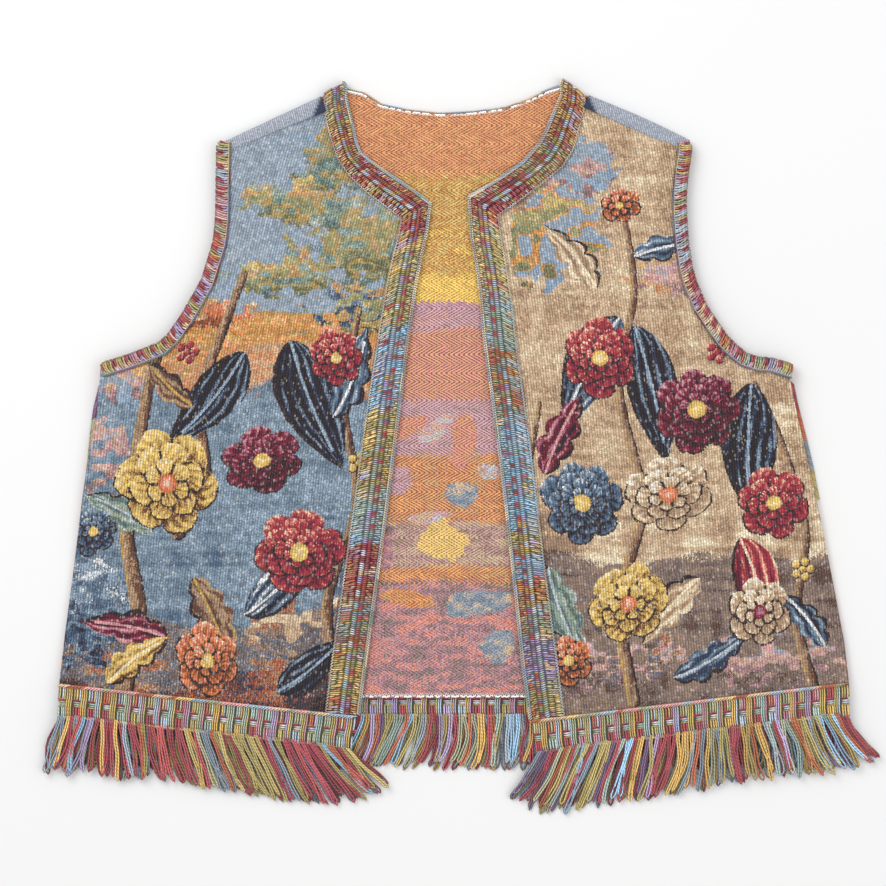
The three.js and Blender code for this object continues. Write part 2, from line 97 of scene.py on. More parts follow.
class Yarn(Enum):
    """The dyed yarns, as display colours."""

    INK = (42, 36, 42)
    NAVY = (52, 60, 84)
    STEEL = (82, 102, 126)
    SLATE = (118, 136, 152)
    SKY = (154, 172, 190)
    AZURE = (136, 160, 186)
    MIST = (190, 198, 206)
    BRIGHT_SKY = (134, 178, 208)
    TEAL = (96, 114, 110)
    SEA = (142, 166, 158)
    SAGE = (150, 156, 126)
    MOSS = (112, 110, 78)
    OLIVE = (162, 148, 88)
    MUSTARD = (194, 156, 82)
    STRAW = (222, 188, 116)
    LEMON = (240, 202, 104)
    CREAM = (236, 220, 188)
    SAND = (206, 178, 146)
    TAN = (180, 146, 114)
    FAWN = (156, 128, 106)
    STONE = (132, 114, 108)
    UMBER = (96, 72, 62)
    BROWN = (112, 72, 52)
    RUST = (168, 84, 52)
    ORANGE = (214, 128, 74)
    SALMON = (222, 150, 108)
    CORAL = (226, 140, 122)
    PINK = (214, 156, 156)
    MAUVE = (172, 120, 138)
    LILAC = (158, 142, 182)
    VIOLET = (110, 78, 120)
    CRIMSON = (148, 44, 66)
    BURGUNDY = (98, 34, 52)
    WHITE = (240, 236, 232)
    ASH = (150, 158, 168)
    SCARLET = (164, 60, 66)
    PEACH = (228, 162, 112)
    AMBER = (214, 158, 92)
    APRICOT = (240, 160, 84)
    GILT = (252, 206, 112)
    ORCHID = (190, 144, 146)
    THISTLE = (206, 158, 172)
    PLUM = (128, 76, 98)

    @property
    def light(self) -> tuple[float, float, float]:
        """The yarn's linear colour."""
        return linear(self.value)


class Ramp(Enum):
    """Yarns that shade one motif, from dark to light."""

    INK = (Yarn.INK, Yarn.UMBER)
    LEAF_GREEN = (Yarn.MOSS, Yarn.MOSS, Yarn.SAGE, Yarn.OLIVE, Yarn.SAGE, Yarn.STRAW)
    LEAF_SEA = (Yarn.TEAL, Yarn.TEAL, Yarn.SEA, Yarn.SAGE, Yarn.MIST)
    LEAF_NAVY = (Yarn.NAVY, Yarn.NAVY, Yarn.STEEL, Yarn.SLATE, Yarn.MIST)
    LEAF_BROWN = (Yarn.UMBER, Yarn.BROWN, Yarn.FAWN, Yarn.TAN, Yarn.MUSTARD)
    LEAF_CREAM = (Yarn.FAWN, Yarn.TAN, Yarn.SAND, Yarn.CREAM, Yarn.CREAM)
    ROSE = (Yarn.INK, Yarn.BURGUNDY, Yarn.BURGUNDY, Yarn.CRIMSON, Yarn.MAUVE, Yarn.PINK)
    GOLD = (Yarn.BROWN, Yarn.MUSTARD, Yarn.STRAW, Yarn.LEMON, Yarn.CREAM)
    BLUE = (Yarn.INK, Yarn.NAVY, Yarn.STEEL, Yarn.STEEL, Yarn.SLATE, Yarn.SKY, Yarn.WHITE)
    CORAL = (Yarn.BROWN, Yarn.RUST, Yarn.ORANGE, Yarn.CORAL, Yarn.CREAM)
    IVORY = (Yarn.FAWN, Yarn.TAN, Yarn.SAND, Yarn.CREAM, Yarn.WHITE)
    SKY = (Yarn.AZURE, Yarn.SKY, Yarn.ASH, Yarn.SKY, Yarn.ASH)
    WATER = (Yarn.STEEL, Yarn.SLATE, Yarn.SLATE, Yarn.SKY, Yarn.SLATE)
    EARTH = (Yarn.INK, Yarn.UMBER, Yarn.NAVY, Yarn.RUST, Yarn.TAN)
    WALL = (Yarn.FAWN, Yarn.TAN, Yarn.SAND, Yarn.SAND, Yarn.CREAM)
    PAVING = (Yarn.UMBER, Yarn.STONE, Yarn.STONE, Yarn.FAWN, Yarn.STONE)
    HAZE = (Yarn.TAN, Yarn.SAND, Yarn.ORANGE, Yarn.TAN, Yarn.STRAW)
    DRY = (Yarn.OLIVE, Yarn.MUSTARD, Yarn.TAN, Yarn.AMBER, Yarn.TAN)
    AUTUMN = (Yarn.FAWN, Yarn.MUSTARD, Yarn.ORANGE, Yarn.STRAW, Yarn.CORAL)
    BLUSH = (Yarn.STONE, Yarn.MAUVE, Yarn.SAND, Yarn.PINK, Yarn.SKY)
    SOIL = (Yarn.UMBER, Yarn.STONE, Yarn.STEEL, Yarn.TAN, Yarn.RUST)
    BARK = (Yarn.INK, Yarn.UMBER, Yarn.BROWN, Yarn.TAN, Yarn.FAWN, Yarn.MUSTARD)
    MIDNIGHT = (Yarn.INK, Yarn.INK, Yarn.INK, Yarn.NAVY, Yarn.SLATE, Yarn.SKY)
    MOONLIT = (Yarn.INK, Yarn.NAVY, Yarn.STEEL, Yarn.SLATE, Yarn.WHITE)
    CRIMSON_SILK = (Yarn.BURGUNDY, Yarn.CRIMSON, Yarn.SCARLET, Yarn.SCARLET, Yarn.CORAL, Yarn.CREAM)
    FLOAT_SALMON = (Yarn.PEACH, Yarn.SALMON, Yarn.PEACH)
    FLOAT_OCHRE = (Yarn.AMBER, Yarn.STRAW, Yarn.AMBER)
    FLOAT_GOLD = (Yarn.STRAW, Yarn.AMBER, Yarn.LEMON)
    FLOAT_YELLOW = (Yarn.LEMON, Yarn.GILT, Yarn.GILT)
    FLOAT_CORAL = (Yarn.CORAL, Yarn.SALMON, Yarn.CORAL)
    FLOAT_ORANGE = (Yarn.AMBER, Yarn.ORANGE, Yarn.APRICOT)
    FLOAT_LILAC = (Yarn.ORCHID, Yarn.THISTLE, Yarn.THISTLE, Yarn.PINK)
    FLOAT_MAUVE = (Yarn.STONE, Yarn.MAUVE, Yarn.ORCHID, Yarn.CORAL)
    FLOAT_FAWN = (Yarn.FAWN, Yarn.ORCHID, Yarn.SAND)
    FLOAT_GREY = (Yarn.SLATE, Yarn.ASH, Yarn.SAND)
    FLOAT_PALE = (Yarn.SAND, Yarn.PINK, Yarn.MIST, Yarn.SAND)

    @property
    def table(self) -> Array:
        """The ramp's linear colours, one row each."""
        return np.array([y.light for y in self.value])


# ---------------------------------------------------------------- noise


def hashed(ix: Array, iy: Array, seed: int) -> Array:
    """A fixed random number from 0 to 1 for each whole-number place.

    Args:
        ix: places across.
        iy: places along.
        seed: which set of numbers.

    Returns:
        The numbers.
    """
    n = (ix.astype(np.int64) * 374761393 + iy.astype(np.int64) * 668265263 + seed * 974711) & 0xFFFFFFFF
    n = ((n ^ (n >> 13)) * 1274126177) & 0xFFFFFFFF
    return ((n ^ (n >> 16)) & 0xFFFF) / 65535.0


def cloud(x: Array, y: Array, run_x: float, run_y: float, seed: int) -> Array:
    """Smooth noise from 0 to 1 that changes over run_x and run_y.

    Args:
        x: places across.
        y: places along.
        run_x: size of a patch across.
        run_y: size of a patch along.
        seed: which set of numbers.

    Returns:
        The noise at each place.
    """
    u, v = x / run_x, y / run_y
    iu, iv = np.floor(u), np.floor(v)
    fu, fv = u - iu, v - iv
    fu, fv = fu * fu * (3 - 2 * fu), fv * fv * (3 - 2 * fv)
    low = hashed(iu, iv, seed) * (1 - fu) + hashed(iu + 1, iv, seed) * fu
    high = hashed(iu, iv + 1, seed) * (1 - fu) + hashed(iu + 1, iv + 1, seed) * fu
    return low * (1 - fv) + high * fv


# ---------------------------------------------------------------- CAD solids as guides


class CadSolid:
    """A node of the frame, read as a surface whose outline and heights can be measured."""

    def __init__(self, name: str) -> None:
        """Reads the node.

        Args:
            name: the CAD node.
        """
        self.name = name
        work = bmesh.new()
        work.from_mesh(frame["nodes"][name].data)
        bmesh.ops.remove_doubles(work, verts=work.verts, dist=2e-6)
        self.tree = BVHTree.FromBMesh(work)
        self.upper = self._outline(work, 1)
        self.lower = self._outline(work, -1)
        work.free()

    @staticmethod
    def _outline(work: bmesh.types.BMesh, side: int) -> Array:
        """The longest closed border of the faces that look up (side 1) or down (side -1), as x and y."""
        chosen = {f for f in work.faces if f.normal.z * side > 0.25}
        following: dict = {}
        for f in chosen:
            for corner in f.loops:
                if sum(1 for g in corner.edge.link_faces if g in chosen) == 1:
                    following.setdefault(corner.vert, corner.link_loop_next.vert)
        loops, seen = [], set()
        for first in sorted(following, key=lambda v: v.index):
            if first in seen:
                continue
            loop, here = [], first
            while here in following and here not in seen:
                seen.add(here)
                loop.append((here.co.x, here.co.y))
                here = following[here]
            loops.append(loop)
        longest = np.array(max(loops, key=len))
        if side < 0:
            longest = longest[::-1]
        return longest

    def _cast(self, x: float, y: float, side: int) -> float:
        """Height of the surface that is met first from above (side 1) or below (side -1)."""
        start, way = Vector((x, y, 0.05 * side)), Vector((0, 0, -side))
        hit = self.tree.ray_cast(start, way)[0]
        if hit is None:
            near = self.tree.find_nearest(Vector((x, y, 0.004)))[0]
            step = Vector((near.x - x, near.y - y, 0))
            step = step.normalized() * 0.0004 if step.length > 1e-9 else step
            hit = self.tree.ray_cast(Vector((near.x, near.y, start.z)) + step, way)[0] or near
        return hit.z

    def top(self, points: Array) -> Array:
        """Heights of the upper surface at x, y rows."""
        return np.array([self._cast(x, y, 1) for x, y in points[:, :2]])

    def bottom(self, points: Array) -> Array:
        """Heights of the lower surface at x, y rows."""
        return np.array([self._cast(x, y, -1) for x, y in points[:, :2]])


def length_of(path: Array) -> float:
    """Length of a path."""
    return float(np.linalg.norm(np.diff(path, axis=0), axis=1).sum())


def even(path: Array, steps: int) -> Array:
    """The path as steps equal stretches."""
    run = np.concatenate([[0], np.cumsum(np.linalg.norm(np.diff(path, axis=0), axis=1))])
    at = np.linspace(0, run[-1], steps + 1)
    return np.column_stack([np.interp(at, run, path[:, k]) for k in range(2)])


def corner_near(loop: Array, place: Sequence[float]) -> int:
    """Which corner of an outline is nearest a place given in millimetres."""
    return int(np.argmin(np.linalg.norm(loop - np.array(place) * MM, axis=1)))


def stretch(loop: Array, start: Sequence[float], stop: Sequence[float]) -> Array:
    """The part of an outline between two of its corners, the shorter way round.

    Args:
        loop: the outline's x and y, in metres.
        start: place of the first corner, in millimetres.
        stop: place of the last corner, in millimetres.

    Returns:
        The x and y of that part.
    """
    i, j, n = corner_near(loop, start), corner_near(loop, stop), len(loop)
    onward = loop[[(i + k) % n for k in range((j - i) % n + 1)]]
    back = loop[[(i - k) % n for k in range((i - j) % n + 1)]]
    return onward if length_of(onward) <= length_of(back) else back


def within(outline: Array, points: Array) -> Array:
    """Which points are inside an outline."""
    found = np.zeros(len(points), bool)
    for (ax, ay), (bx, by) in zip(outline, np.roll(outline, -1, axis=0)):
        crosses = (ay > points[:, 1]) != (by > points[:, 1])
        if crosses.any():
            at = ax + (points[:, 1] - ay) * (bx - ax) / (by - ay if by != ay else 1e-12)
            found ^= crosses & (points[:, 0] < at)
    return found


class Ribbon:
    """A strip of trimming between two long edges, measured along its middle."""

    STEP = 1.0 * MM

    def __init__(self, solid: CadSolid, pairs: Sequence[Pair]) -> None:
        """Finds both long edges on the solid's outline.

        Args:
            solid: the CAD solid of the strip.
            pairs: corners that lie across from each other.
        """
        self.solid = solid
        loop, first, second = solid.upper, [], []
        for start, stop in zip(pairs[:-1], pairs[1:]):
            a, b = stretch(loop, start[:2], stop[:2]), stretch(loop, start[2:], stop[2:])
            steps = max(2, int(round((length_of(a) + length_of(b)) / 2 / self.STEP)))
            first.append(even(a, steps)[:-1])
            second.append(even(b, steps)[:-1])
        self.a = np.vstack(first + [[loop[corner_near(loop, pairs[-1][:2])]]])
        self.b = np.vstack(second + [[loop[corner_near(loop, pairs[-1][2:])]]])
        middle = (self.a + self.b) / 2
        self.run = np.concatenate([[0], np.cumsum(np.linalg.norm(np.diff(middle, axis=0), axis=1))])
        self.length = float(self.run[-1])
        self.width = float(np.median(np.linalg.norm(self.a - self.b, axis=1)))

    def flat(self, s: Array, t: Array) -> Array:
        """x and y at run s in metres and share t from the first edge to the second."""
        a = np.column_stack([np.interp(s, self.run, self.a[:, k]) for k in range(2)])
        b = np.column_stack([np.interp(s, self.run, self.b[:, k]) for k in range(2)])
        return a + (b - a) * np.asarray(t)[:, None]

    def place(self, s: Iterable[float], t: Iterable[float], sunk: Iterable[float] | float) -> Array:
        """Points a given depth below the solid's upper surface.

        Args:
            s: run along the strip in metres.
            t: share across it.
            sunk: depth below the surface in metres.

        Returns:
            One x, y, z row for each.
        """
        s, t = np.broadcast_arrays(np.asarray(s, float), np.asarray(t, float))
        flat = self.flat(s, np.clip(t, 0.0, 1.0))
        inside = self.flat(s, np.clip(t, 0.03, 0.97))
        return np.column_stack([flat, self.solid.top(inside) - sunk])

# ---------------------------------------------------------------- pieces and sheets


def linked(name: str, data: bpy.types.ID) -> bpy.types.Object:
    """A new object of some data, in the scene."""
    made = bpy.data.objects.new(name, data)
    bpy.context.scene.collection.objects.link(made)
    return made


def seat(obj: bpy.types.Object, slot: str, *nodes: str) -> bpy.types.Object:
    """Lets a finished piece stand for its CAD nodes and ride on the vest."""
    if nodes:
        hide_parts(*nodes)
    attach(obj, BODY)
    return obj


def grid_cells(rows: int, columns: int) -> Array:
    """The corners of every cell of a grid of points, kept row by row."""
    ids = np.arange(rows * columns).reshape(rows, columns)
    return np.stack([ids[:-1, :-1], ids[1:, :-1], ids[1:, 1:], ids[:-1, 1:]], axis=-1).reshape(-1, 4)


def border_of(cells: Array) -> tuple[Array, Array]:
    """The directed edges that only one cell has, and that cell."""
    edges = np.vstack([cells[:, [k, (k + 1) % 4]] for k in range(4)])
    _, first, counts = np.unique(np.sort(edges, axis=1), axis=0, return_index=True, return_counts=True)
    single = first[counts == 1]
    return edges[single], single % len(cells)


def closed_sheet(cells: Array, count: int) -> tuple[Array, Array]:
    """The faces of a sheet with two sides and walls round its border.

    Args:
        cells: corners of the cells of its first side.
        count: points of a side; those of the other side follow.

    Returns:
        All faces, and for each wall the cell beside it.
    """
    border, owner = border_of(cells)
    walls = np.column_stack([border[:, 1], border[:, 0], border[:, 0] + count, border[:, 1] + count])
    return np.vstack([cells, cells[:, ::-1] + count, walls]), owner



# ---------------------------------------------------------------- node graphs


class Graph:
    """Short words for building a node tree."""

    def __init__(self, tree: bpy.types.NodeTree) -> None:
        """Keeps the tree.

        Args:
            tree: the node tree to build in.
        """
        self.tree = tree

    def node(self, kind: str, **settings: object) -> bpy.types.Node:
        """Adds a node and sets its properties."""
        made = self.tree.nodes.new(kind)
        for name, value in settings.items():
            setattr(made, name, value)
        return made

    def feed(self, socket: bpy.types.NodeSocket, value: object) -> None:
        """Links a socket to another, or sets its value."""
        if isinstance(value, bpy.types.NodeSocket):
            self.tree.links.new(value, socket)
        else:
            socket.default_value = value

    def math(self, operation: str, *values: object) -> bpy.types.NodeSocket:
        """A Math node's result."""
        made = self.node("ShaderNodeMath", operation=operation)
        for socket, value in zip(made.inputs, values):
            self.feed(socket, value)
        return made.outputs[0]

    def times(self, *values: object) -> bpy.types.NodeSocket:
        """The product of two values."""
        return self.math("MULTIPLY", *values)

    def plus(self, *values: object) -> bpy.types.NodeSocket:
        """The sum of two values."""
        return self.math("ADD", *values)

    def minus(self, *values: object) -> bpy.types.NodeSocket:
        """The difference of two values."""
        return self.math("SUBTRACT", *values)

    def swing(self, value: object) -> bpy.types.NodeSocket:
        """The sine of a value without its sign."""
        return self.math("ABSOLUTE", self.math("SINE", value))

    def attribute(self, name: str, output: str = "Fac") -> bpy.types.NodeSocket:
        """A value or colour kept in the mesh."""
        return self.node("ShaderNodeAttribute", attribute_name=name).outputs[output]

    def object_place(self) -> bpy.types.NodeSocket:
        """The place in the piece's own metres."""
        return self.node("ShaderNodeTexCoord").outputs["Object"]

    def parts(self, vector: object) -> bpy.types.NodeOutputs:
        """A vector's x, y and z."""
        made = self.node("ShaderNodeSeparateXYZ")
        self.feed(made.inputs[0], vector)
        return made.outputs

    def blend(self, factor: object, a: object, b: object, kind: str = "MIX") -> bpy.types.NodeSocket:
        """A colour between a and b."""
        made = self.node("ShaderNodeMix", data_type="RGBA", blend_type=kind)
        self.feed(made.inputs["Factor"], factor)
        self.feed(made.inputs[6], a)
        self.feed(made.inputs[7], b)
        return made.outputs[2]

    def spread(self, value: object, *ends: float) -> bpy.types.NodeSocket:
        """A value moved from one range to another and kept inside it; the ends are low and high of both."""
        made = self.node("ShaderNodeMapRange")
        for socket, v in zip(made.inputs, (value, *ends)):
            self.feed(socket, v)
        return made.outputs[0]

    def noise(self, vector: object, scale: float, detail: float = 2.0) -> bpy.types.NodeSocket:
        """A noise value."""
        made = self.node("ShaderNodeTexNoise")
        self.feed(made.inputs["Vector"], vector)
        made.inputs["Scale"].default_value = scale
        made.inputs["Detail"].default_value = detail
        return made.outputs[0]


def new_group(name: str, inputs: dict[str, float | None],
              outputs: Sequence[str]) -> tuple[bpy.types.NodeTree, Graph]:
    """Starts a shader node group.

    Args:
        name: its name.
        inputs: default value of each input, or None for a vector.
        outputs: the outputs, which are single values.

    Returns:
        The group and its graph.
    """
    tree = bpy.data.node_groups.new(name, "ShaderNodeTree")
    for label, value in inputs.items():
        kind = "NodeSocketVector" if value is None else "NodeSocketFloat"
        socket = tree.interface.new_socket(name=label, in_out="INPUT", socket_type=kind)
        if value is not None:
            socket.default_value = value
    for label in outputs:
        tree.interface.new_socket(name=label, in_out="OUTPUT", socket_type="NodeSocketFloat")
    return tree, Graph(tree)


def tapestry_weave_group() -> bpy.types.NodeTree:
    """The face weave: fine upright ribs of short floats that start at a different level in every rib."""
    inputs = {"Cell": None, "Ribs": 0.75, "Floats": 0.62}
    tree, g = new_group("tapestry_weave", inputs, ("Height", "Shade", "Glint"))
    enter, leave = g.node("NodeGroupInput"), g.node("NodeGroupOutput")
    cell = g.parts(enter.outputs["Cell"])
    across = g.times(cell[0], enter.outputs["Ribs"])
    along = g.times(cell[1], enter.outputs["Floats"])
    column = g.math("FLOOR", across)
    start = g.node("ShaderNodeTexWhiteNoise", noise_dimensions="1D")
    g.feed(start.inputs["W"], column)
    level = g.plus(along, start.outputs["Value"])
    place = g.node("ShaderNodeCombineXYZ")
    g.feed(place.inputs[0], column)
    g.feed(place.inputs[1], g.math("FLOOR", level))
    speck = g.node("ShaderNodeTexWhiteNoise", noise_dimensions="2D")
    g.feed(speck.inputs["Vector"], place.outputs[0])
    rib = g.math("SINE", g.times(g.math("FRACT", across), math.pi))
    swell = g.math("POWER", g.math("SINE", g.times(g.math("FRACT", level), math.pi)), 0.5)
    height = g.times(rib, g.plus(0.3, g.times(swell, 0.7)))
    # Shade is painted shade: darker where each rib falls away at its sides and at the float ends, times
    # random tone per float. Glint is a painted highlight on a few raised floats.
    shade = g.plus(g.times(height, 0.62), g.times(speck.outputs["Value"], 0.46))
    g.feed(leave.inputs["Height"], height)
    g.feed(leave.inputs["Shade"], g.plus(shade, 0.4))
    g.feed(leave.inputs["Glint"], g.times(g.math("GREATER_THAN", speck.outputs["Value"], 0.95), height))
    return tree


def float_rows_group() -> bpy.types.NodeTree:
    """The floated inside of the cloth: slanting strokes whose lean turns over from row to row."""
    sizes = {"Place": None, "Pitch": 3.7 * MM, "Rise": 2.2 * MM, "Row": 4.5 * MM}
    tree, g = new_group("float_rows", sizes, ("Stroke", "Gap", "Random"))
    enter, leave = g.node("NodeGroupInput"), g.node("NodeGroupOutput")
    x, y, _ = g.parts(enter.outputs["Place"])
    wave = g.times(g.minus(g.noise(enter.outputs["Place"], 60.0), 0.5), 2.2 * MM)
    y = g.plus(y, wave)
    row = g.math("FLOOR", g.math("DIVIDE", y, enter.outputs["Row"]))
    lean = g.minus(g.times(g.math("FLOORED_MODULO", row, 2.0), 2.0), 1.0)
    u = g.math("DIVIDE", x, enter.outputs["Pitch"])
    v = g.times(lean, g.math("DIVIDE", y, enter.outputs["Rise"]))
    q = g.plus(u, v)
    stroke = g.plus(0.5, g.times(0.5, g.math("SINE", g.times(q, TURN))))
    other = g.math("SINE", g.times(g.minus(u, v), TURN))
    gap = g.times(g.minus(1.0, stroke), g.plus(0.5, g.times(other, 0.5)))
    cell = g.node("ShaderNodeCombineXYZ")
    g.feed(cell.inputs[0], g.math("FLOOR", q))
    g.feed(cell.inputs[1], g.math("FLOOR", g.times(g.minus(u, v), 0.5)))
    g.feed(cell.inputs[2], row)
    chance = g.node("ShaderNodeTexWhiteNoise", noise_dimensions="3D")
    g.feed(chance.inputs["Vector"], cell.outputs[0])
    g.feed(leave.inputs["Stroke"], stroke)
    g.feed(leave.inputs["Gap"], gap)
    g.feed(leave.inputs["Random"], chance.outputs["Value"])
    return tree


def ply_group() -> bpy.types.NodeTree:
    """The twist of a two-ply yarn, from the angle round it and the run along it."""
    inputs = {"Cosine": 1.0, "Sine": 0.0, "Along": 0.0, "Pitch": 3.2 * MM}
    tree, g = new_group("yarn_ply", inputs, ("Ply", "Hair"))
    enter, leave = g.node("NodeGroupInput"), g.node("NodeGroupOutput")
    angle = g.math("ARCTAN2", enter.outputs["Sine"], enter.outputs["Cosine"])
    turn = g.times(g.math("DIVIDE", enter.outputs["Along"], enter.outputs["Pitch"]), TURN)
    g.feed(leave.inputs["Ply"], g.math("POWER", g.swing(g.plus(angle, turn)), 0.6))
    g.feed(leave.inputs["Hair"], g.noise(g.object_place(), 2600.0))
    return tree


# ---------------------------------------------------------------- finishes


@dataclass(frozen=True)
class Finish:
    """What every finish has: a name and the plain values of its shader."""

    name: str
    roughness: float = 0.85
    specular: float = 0.25
    sheen: float = 0.12

    def start(self) -> tuple[bpy.types.Material, Graph, bpy.types.Node]:
        """Makes the material with its shader.

        Returns:
            The material, its graph and the Principled node.
        """
        material = bpy.data.materials.new(self.name)
        material.use_nodes = True
        graph = Graph(material.node_tree)
        shader = material.node_tree.nodes["Principled BSDF"]
        shader.inputs["Roughness"].default_value = self.roughness
        shader.inputs["Specular IOR Level"].default_value = self.specular
        shader.inputs["Sheen Weight"].default_value = self.sheen
        shader.inputs["Sheen Roughness"].default_value = 0.6
        return material, graph, shader

    @staticmethod
    def relief(g: Graph, shader: bpy.types.Node, height: object, depth: float, strength: float) -> None:
        """Feeds a height to the shader's normal."""
        bump = g.node("ShaderNodeBump")
        bump.inputs["Strength"].default_value = strength
        bump.inputs["Distance"].default_value = depth
        g.feed(bump.inputs["Height"], height)
        g.feed(shader.inputs["Normal"], bump.outputs[0])


QUARTERS = ("quarter_00", "quarter_10", "quarter_01", "quarter_11")


def grey_of(g: Graph, value: object) -> bpy.types.NodeSocket:
    """A grey of one value."""
    made = g.node("ShaderNodeCombineColor")
    for socket in made.inputs:
        g.feed(socket, value)
    return made.outputs[0]


def quarter_colours(g: Graph, cell: object) -> bpy.types.NodeSocket:
    """The yarn colour kept for the quarter of the weave cell that a place is in."""
    right, upper = (g.math("GREATER_THAN", g.math("FRACT", part), 0.5) for part in g.parts(cell)[:2])
    kept = [g.attribute(name, "Color") for name in QUARTERS]
    return g.blend(upper, g.blend(right, kept[0], kept[1]), g.blend(right, kept[2], kept[3]))


@dataclass(frozen=True)
class TapestryFinish(Finish):
    """The figured face of the cloth, whose yarn colours are in the mesh."""

    def build(self, weave: bpy.types.NodeTree) -> bpy.types.Material:
        """Makes the material.

        Args:
            weave: the face weave group.

        Returns:
            The material.
        """
        material, g, shader = self.start()
        cells = g.node("ShaderNodeUVMap", uv_map="weave")
        use = g.node("ShaderNodeGroup", node_tree=weave)
        g.feed(use.inputs["Cell"], cells.outputs[0])
        colour = quarter_colours(g, cells.outputs[0])
        # The yarn colours are multiplied by the weave's painted shade, and a few float tops are blended
        # towards white as a painted highlight.
        colour = g.blend(1.0, colour, grey_of(g, use.outputs["Shade"]), "MULTIPLY")
        glint = g.times(use.outputs["Glint"], 0.22)
        g.feed(shader.inputs["Base Color"], g.blend(glint, colour, (*Yarn.WHITE.light, 1)))
        g.feed(shader.inputs["Roughness"], g.spread(use.outputs["Height"], 0.0, 1.0, 0.95, 0.62))
        self.relief(g, shader, use.outputs["Height"], 0.4 * MM, 0.8)
        return material


@dataclass(frozen=True)
class FloatFinish(Finish):
    """The inside of the cloth, whose floats slant to and fro."""

    def build(self, rows: bpy.types.NodeTree) -> bpy.types.Material:
        """Makes the material.

        Args:
            rows: the group of slanting floats.

        Returns:
            The material.
        """
        material, g, shader = self.start()
        where = g.object_place()
        use = g.node("ShaderNodeGroup", node_tree=rows)
        g.feed(use.inputs["Place"], where)
        for name, value in (("Pitch", 3.5 * MM), ("Rise", 2.0 * MM), ("Row", 6.4 * MM)):
            use.inputs[name].default_value = value
        colour = quarter_colours(g, g.node("ShaderNodeUVMap", uv_map="weave").outputs[0])
        depth = g.attribute("floats")
        grain = g.noise(where, 1100.0)
        # Painted shade in the gaps between the floats and painted light along their tops, times random tone
        # per float.
        dark = g.spread(use.outputs["Gap"], 0.25, 0.85, 1.0, 0.36)
        light = g.spread(use.outputs["Stroke"], 0.0, 1.0, 0.72, 1.28)
        chance = g.spread(use.outputs["Random"], 0.0, 1.0, 0.84, 1.16)
        chance = g.times(chance, g.spread(grain, 0.35, 0.65, 0.82, 1.18))
        strokes = g.times(g.times(dark, light), chance)
        fleck = g.spread(grain, 0.36, 0.64, 0.42, 1.56)
        plain = g.times(fleck, g.minus(1.0, depth))
        tone = g.plus(g.times(strokes, depth), plain)
        # Below 90 mm the gaps are also darkened towards plum as painted shade, and the float tops are blended
        # towards cream as a painted highlight.
        lower = g.times(g.spread(g.parts(where)[1], 0.09, 0.1, 1.0, 0.0), depth)
        gaps = g.times(g.spread(use.outputs["Gap"], 0.25, 0.8, 0.0, 0.85), lower)
        shine = g.times(g.spread(use.outputs["Stroke"], 0.5, 1.0, 0.0, 0.46), lower)
        base = g.blend(1.0, colour, grey_of(g, tone), "MULTIPLY")
        base = g.blend(gaps, base, (*Yarn.PLUM.light, 1))
        g.feed(shader.inputs["Base Color"], g.blend(shine, base, (*Yarn.CREAM.light, 1)))
        lift = g.times(g.minus(use.outputs["Stroke"], use.outputs["Gap"]), depth)
        self.relief(g, shader, g.plus(lift, g.times(grain, 0.6)), 0.5 * MM, 0.6)
        return material


@dataclass(frozen=True)
class YarnFinish(Finish):
    """Loose and braided yarn, whose dye is in the mesh, with painted shade on its flanks and in its twist and
    a painted highlight on its top.
    """

    ply_depth: float = 0.3 * MM
    ply_shade: float = 0.5
    flank_shade: float = 0.3
    pitch: float = 5.2 * MM

    def build(self, ply: bpy.types.NodeTree) -> bpy.types.Material:
        """Makes the material.

        Args:
            ply: the yarn twist group.

        Returns:
            The material.
        """
        material, g, shader = self.start()
        use = g.node("ShaderNodeGroup", node_tree=ply)
        for name in ("cosine", "sine", "along"):
            g.feed(use.inputs[name.capitalize()], g.attribute(name))
        use.inputs["Pitch"].default_value = self.pitch
        # Painted shade and highlight: each yarn is darker where its surface turns to the side and lighter on
        # top, and darker in the grooves of its ply twist.
        steep = g.math("ABSOLUTE", g.parts(g.node("ShaderNodeNewGeometry").outputs["Normal"])[2])
        flank = g.spread(steep, 0.25, 1.0, self.flank_shade, 1.5)
        tone = g.times(g.spread(use.outputs["Ply"], 0.0, 1.0, self.ply_shade, 1.22), flank)
        tone = g.times(tone, g.spread(use.outputs["Hair"], 0.3, 0.7, 0.8, 1.2))
        dyed = g.blend(1.0, g.attribute("dye", "Color"), grey_of(g, tone), "MULTIPLY")
        g.feed(shader.inputs["Base Color"], dyed)
        lift = g.plus(use.outputs["Ply"], g.times(use.outputs["Hair"], 0.4))
        self.relief(g, shader, lift, self.ply_depth, 0.8)
        return material


@dataclass(frozen=True)
class PlainClothFinish(Finish):
    """The finer pale cloth of the shoulder strips, with thin light cross lines."""

    cloth: tuple[int, int, int] = (134, 142, 157)
    line: tuple[int, int, int] = (214, 218, 225)

    def build(self) -> bpy.types.Material:
        """Makes the material."""
        material, g, shader = self.start()
        where = g.object_place()
        x, y, _ = g.parts(where)
        wander = g.times(g.noise(where, 200.0), 1.5 * MM)
        across = g.plus(g.plus(x, g.times(y, 0.25)), wander)
        ridge = g.swing(g.times(across, math.pi / (1.55 * MM)))
        pick = g.swing(g.times(y, math.pi / (1.1 * MM)))
        mark = g.times(g.spread(ridge, 0.45, 1.0, 0.05, 0.85), g.spread(pick, 0.1, 0.95, 0.35, 1.0))
        mark = g.times(mark, g.spread(g.noise(where, 700.0), 0.32, 0.68, 0.1, 1.7))
        colour = g.blend(mark, (*linear(self.cloth), 1), (*linear(self.line), 1))
        # A mesh attribute blends the cloth to navy as a painted shadow at the strip's end by the neck braid.
        g.feed(shader.inputs["Base Color"], g.blend(g.attribute("painted_shade"), colour, (*Yarn.NAVY.light, 1)))
        self.relief(g, shader, g.plus(ridge, g.times(pick, 0.6)), 0.2 * MM, 0.5)
        return material


